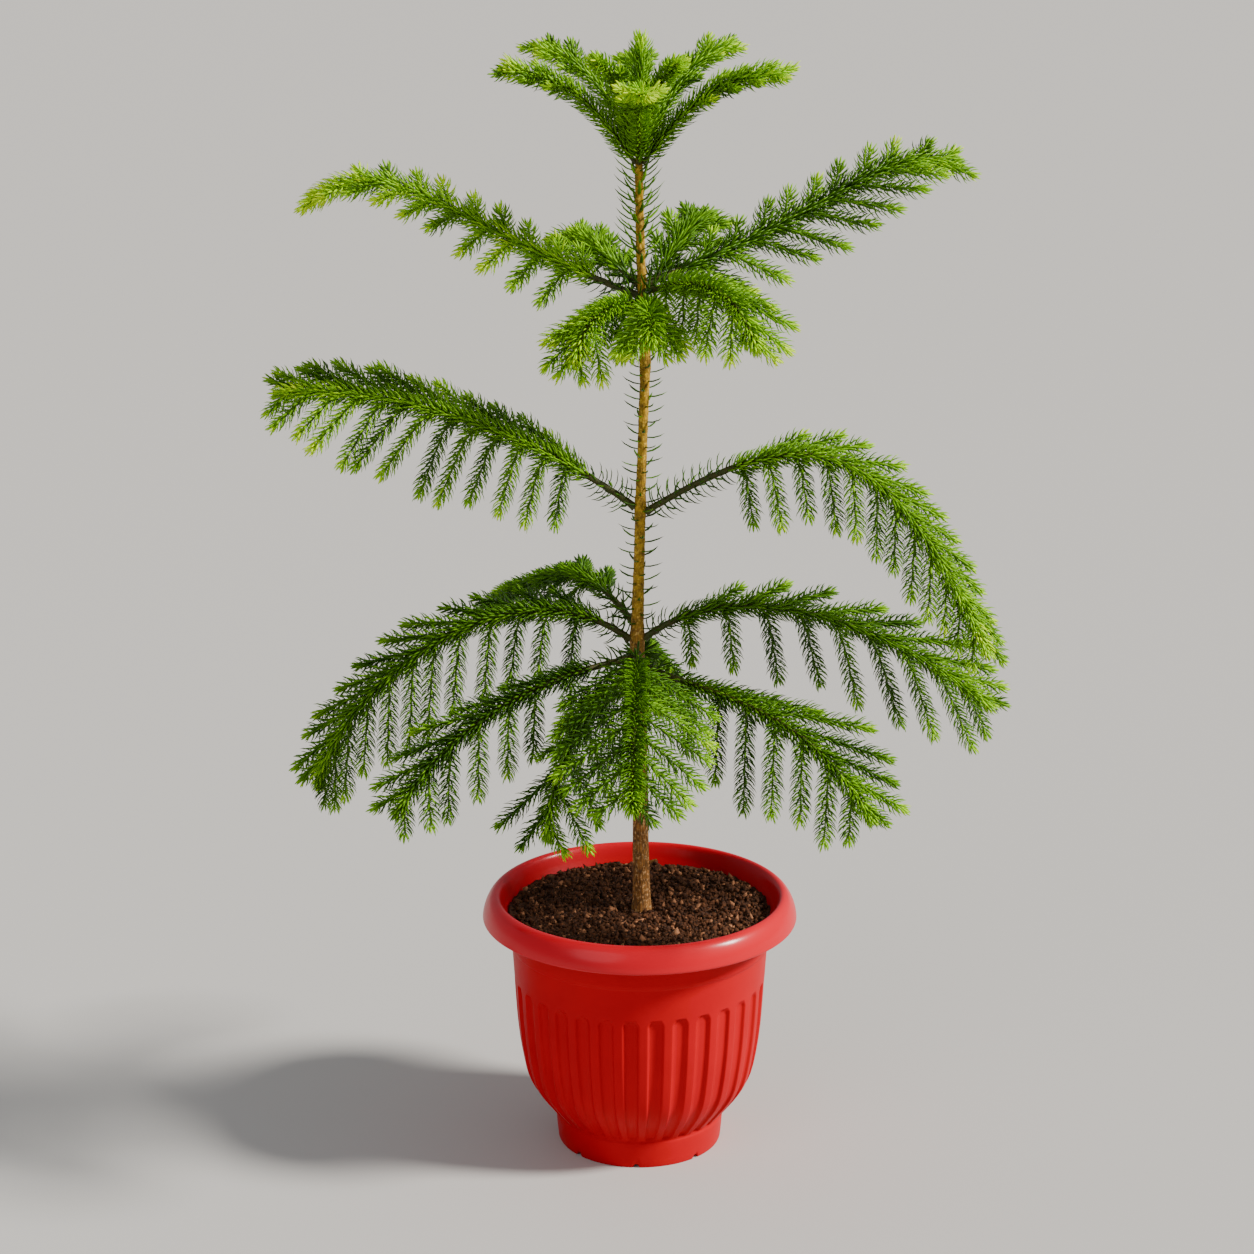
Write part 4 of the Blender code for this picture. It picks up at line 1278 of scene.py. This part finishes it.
def clothe_limb(needles, limb, path, spans, twigs, whorl, settings):
    """A limb's stem and twigs. Its outer twigs are younger and start at a fresher tone."""
    chance = np.random.default_rng(sum(map(ord, limb.name)))
    lengths = {"crown": settings.plume_length, "high": settings.young_length}
    longer = LONG_NEEDLES.get(limb.name, 1.0)
    length = lengths.get(whorl, settings.old_length) * longer
    own = LIMB_TONES.get(limb.name, WHORL_TONES[whorl])
    side = side_of(limb)
    start = spans[0][1] + (0.0 if limb.bare else 0.004)

    def core(marks):
        return limb_core(limb, path, marks) * 0.9

    def clothe_stem(first, last, scale, tone, coat):
        clothe(needles, path, side, first, last, core, scale * length, tone, chance, settings, coat)

    stem_longer = LEADER_LONGER if limb is LEADER else STEM_LONGER
    clothe_stem(start, path.length - 0.001, stem_longer, own[len(own) // 2], STEM_COAT)
    if limb.bare:
        clothe_stem(trunk_clearance(path) + 0.004, start, BARE_LONGER, 0, BARE_COAT)
    coat = TWIG_COAT._replace(spacing=longer)
    for twig, across, share in twigs:
        tone = int(chance.choice(own)) + (share > OUTER_TWIGS) * int(chance.random() < OUTER_FRESHER)
        start, end = TWIG_BARE, twig.length
        clothe(needles, twig, across, start, end, TWIG_BARK[0], length, tone, chance, settings, coat)


def build_needles(settings):
    limbs, paths, spans, twigs = grow_plant()
    finishes = [needle_finish(tone, getattr(settings, tone)) for tone in TONES]
    for whorl, slot in WHORLS.items():
        needles = Needles()
        members = [limb for limb in limbs if whorl_of(limb) == whorl]
        for limb in members:
            clothe_limb(needles, limb, paths[limb], spans[limb], twigs[limb], whorl, settings)
        masses = [name for limb in members for name, _, _ in spans[limb]]
        needles.build(whorl, slot, finishes, masses)
    build_trunk_needles(settings, finishes)


def build_trunk_needles(settings, finishes):
    """Single curved needles up the young trunk, closer together towards the crown."""
    needles = Needles()
    chance = np.random.default_rng(5)
    heights = np.arange(TRUNK_NEEDLES_FROM, TRUNK_TOP, TRUNK_NEEDLES_STEP)
    trunk = Path([trunk_middle(height) for height in heights])
    side = np.array((1.0, 0.0, 0.0))

    def core(marks):
        return trunk_radius(trunk.point(marks)[:, 2])

    for start, end, tone, scale, coat in TRUNK_NEEDLES:
        end = trunk.length if end is None else end
        length = scale * settings.young_length
        clothe(needles, trunk, side, start, end, core, length, tone, chance, settings, coat)
    needles.build("trunk", "young_needles", finishes, ["trunk"])


# Stage.
def build_stage(settings):
    camera = bpy.data.cameras.new("photo_camera")
    camera.sensor_width = SENSOR
    camera.lens = settings.lens
    turn = (math.pi / 2 - CAMERA_TILT, 0.0, 0.0)
    bpy.context.scene.camera = place_object("photo_camera", camera, CAMERA_PLACE, turn)

    half = FLOOR_SIZE / 2
    mesh = bpy.data.meshes.new("floor")
    corners = [(-half, -half, 0), (half, -half, 0), (half, half, 0), (-half, half, 0)]
    mesh.from_pydata(corners, [], [(0, 1, 2, 3)])
    finish = Finish("pale_floor", roughness=0.9, specular=0.2)
    finish.give("Base Color", settings.floor)
    mesh.materials.append(finish.material)
    place_object("floor", mesh)

    world = bpy.data.worlds.new("studio")
    world.use_nodes = True
    backdrop = world.node_tree.nodes["Background"]
    backdrop.inputs["Color"].default_value = SKY_COLOUR
    backdrop.inputs["Strength"].default_value = settings.sky
    bpy.context.scene.world = world

    key = bpy.data.lights.new("key_light", "SUN")
    key.energy = settings.key
    key.angle = KEY_WIDTH
    key.color = KEY_COLOUR
    fill = bpy.data.lights.new("fill_light", "AREA")
    fill.shape = "DISK"
    fill.size = FILL_SIZE
    fill.energy = settings.fill
    fill.color = FILL_COLOUR
    for light, place in ((key, KEY_PLACE), (fill, FILL_PLACE)):
        aim = Vector(AIM) - Vector(place)
        place_object(light.name, light, place, aim.to_track_quat("-Z", "Y").to_euler())


# Operators and panel.
class PINE_OT_pot(bpy.types.Operator):
    """Build the fluted pot"""

    bl_idname = "pine.pot"
    bl_label = "Pot"

    def execute(self, context):
        build_pot(context.scene.pine_pot)
        return {"FINISHED"}


class PINE_OT_soil(bpy.types.Operator):
    """Build the soil and its loose crumbs"""

    bl_idname = "pine.soil"
    bl_label = "Soil"

    def execute(self, context):
        build_soil(context.scene.pine_pot)
        return {"FINISHED"}


class PINE_OT_trunk(bpy.types.Operator):
    """Build the trunk's bark and its dry stub"""

    bl_idname = "pine.trunk"
    bl_label = "Trunk"

    def execute(self, context):
        build_trunk(context.scene.pine_wood)
        build_stub(context.scene.pine_wood)
        return {"FINISHED"}


class PINE_OT_wood(bpy.types.Operator):
    """Build boughs, stems and twigs"""

    bl_idname = "pine.wood"
    bl_label = "Boughs and twigs"

    def execute(self, context):
        build_wood(context.scene.pine_wood)
        return {"FINISHED"}


class PINE_OT_needles(bpy.types.Operator):
    """Build the needles"""

    bl_idname = "pine.needles"
    bl_label = "Needles"

    def execute(self, context):
        build_needles(context.scene.pine_needles)
        return {"FINISHED"}


class PINE_OT_stage(bpy.types.Operator):
    """Set up the floor, the lights and the camera"""

    bl_idname = "pine.stage"
    bl_label = "Stage"

    def execute(self, context):
        build_stage(context.scene.pine_stage)
        return {"FINISHED"}


OPERATORS = (PINE_OT_pot, PINE_OT_soil, PINE_OT_trunk, PINE_OT_wood, PINE_OT_needles, PINE_OT_stage)
SETTINGS = {
    "pine_pot": PotSettings,
    "pine_wood": WoodSettings,
    "pine_needles": NeedleSettings,
    "pine_stage": StageSettings,
}


class PINE_PT_panel(bpy.types.Panel):
    """The plant's settings and builders"""

    bl_idname = "PINE_PT_panel"
    bl_label = "Potted pine"
    bl_space_type = "VIEW_3D"
    bl_region_type = "UI"
    bl_category = "Pine"

    def draw(self, context):
        for name, group in SETTINGS.items():
            box = self.layout.box()
            for label in group.__annotations__:
                box.prop(getattr(context.scene, name), label)
        for operator in OPERATORS:
            self.layout.operator(operator.bl_idname)


CLASSES = (*SETTINGS.values(), *OPERATORS, PINE_PT_panel)


def register():
    for item in CLASSES:
        bpy.utils.register_class(item)
    for name, group in SETTINGS.items():
        setattr(bpy.types.Scene, name, PointerProperty(type=group))


def unregister():
    for name in SETTINGS:
        delattr(bpy.types.Scene, name)
    for item in reversed(CLASSES):
        bpy.utils.unregister_class(item)


def main():
    register()
    bpy.ops.pine.pot()
    bpy.ops.pine.soil()
    bpy.ops.pine.trunk()
    bpy.ops.pine.wood()
    bpy.ops.pine.needles()
    bpy.ops.pine.stage()


if __name__ == "__main__":
    main()
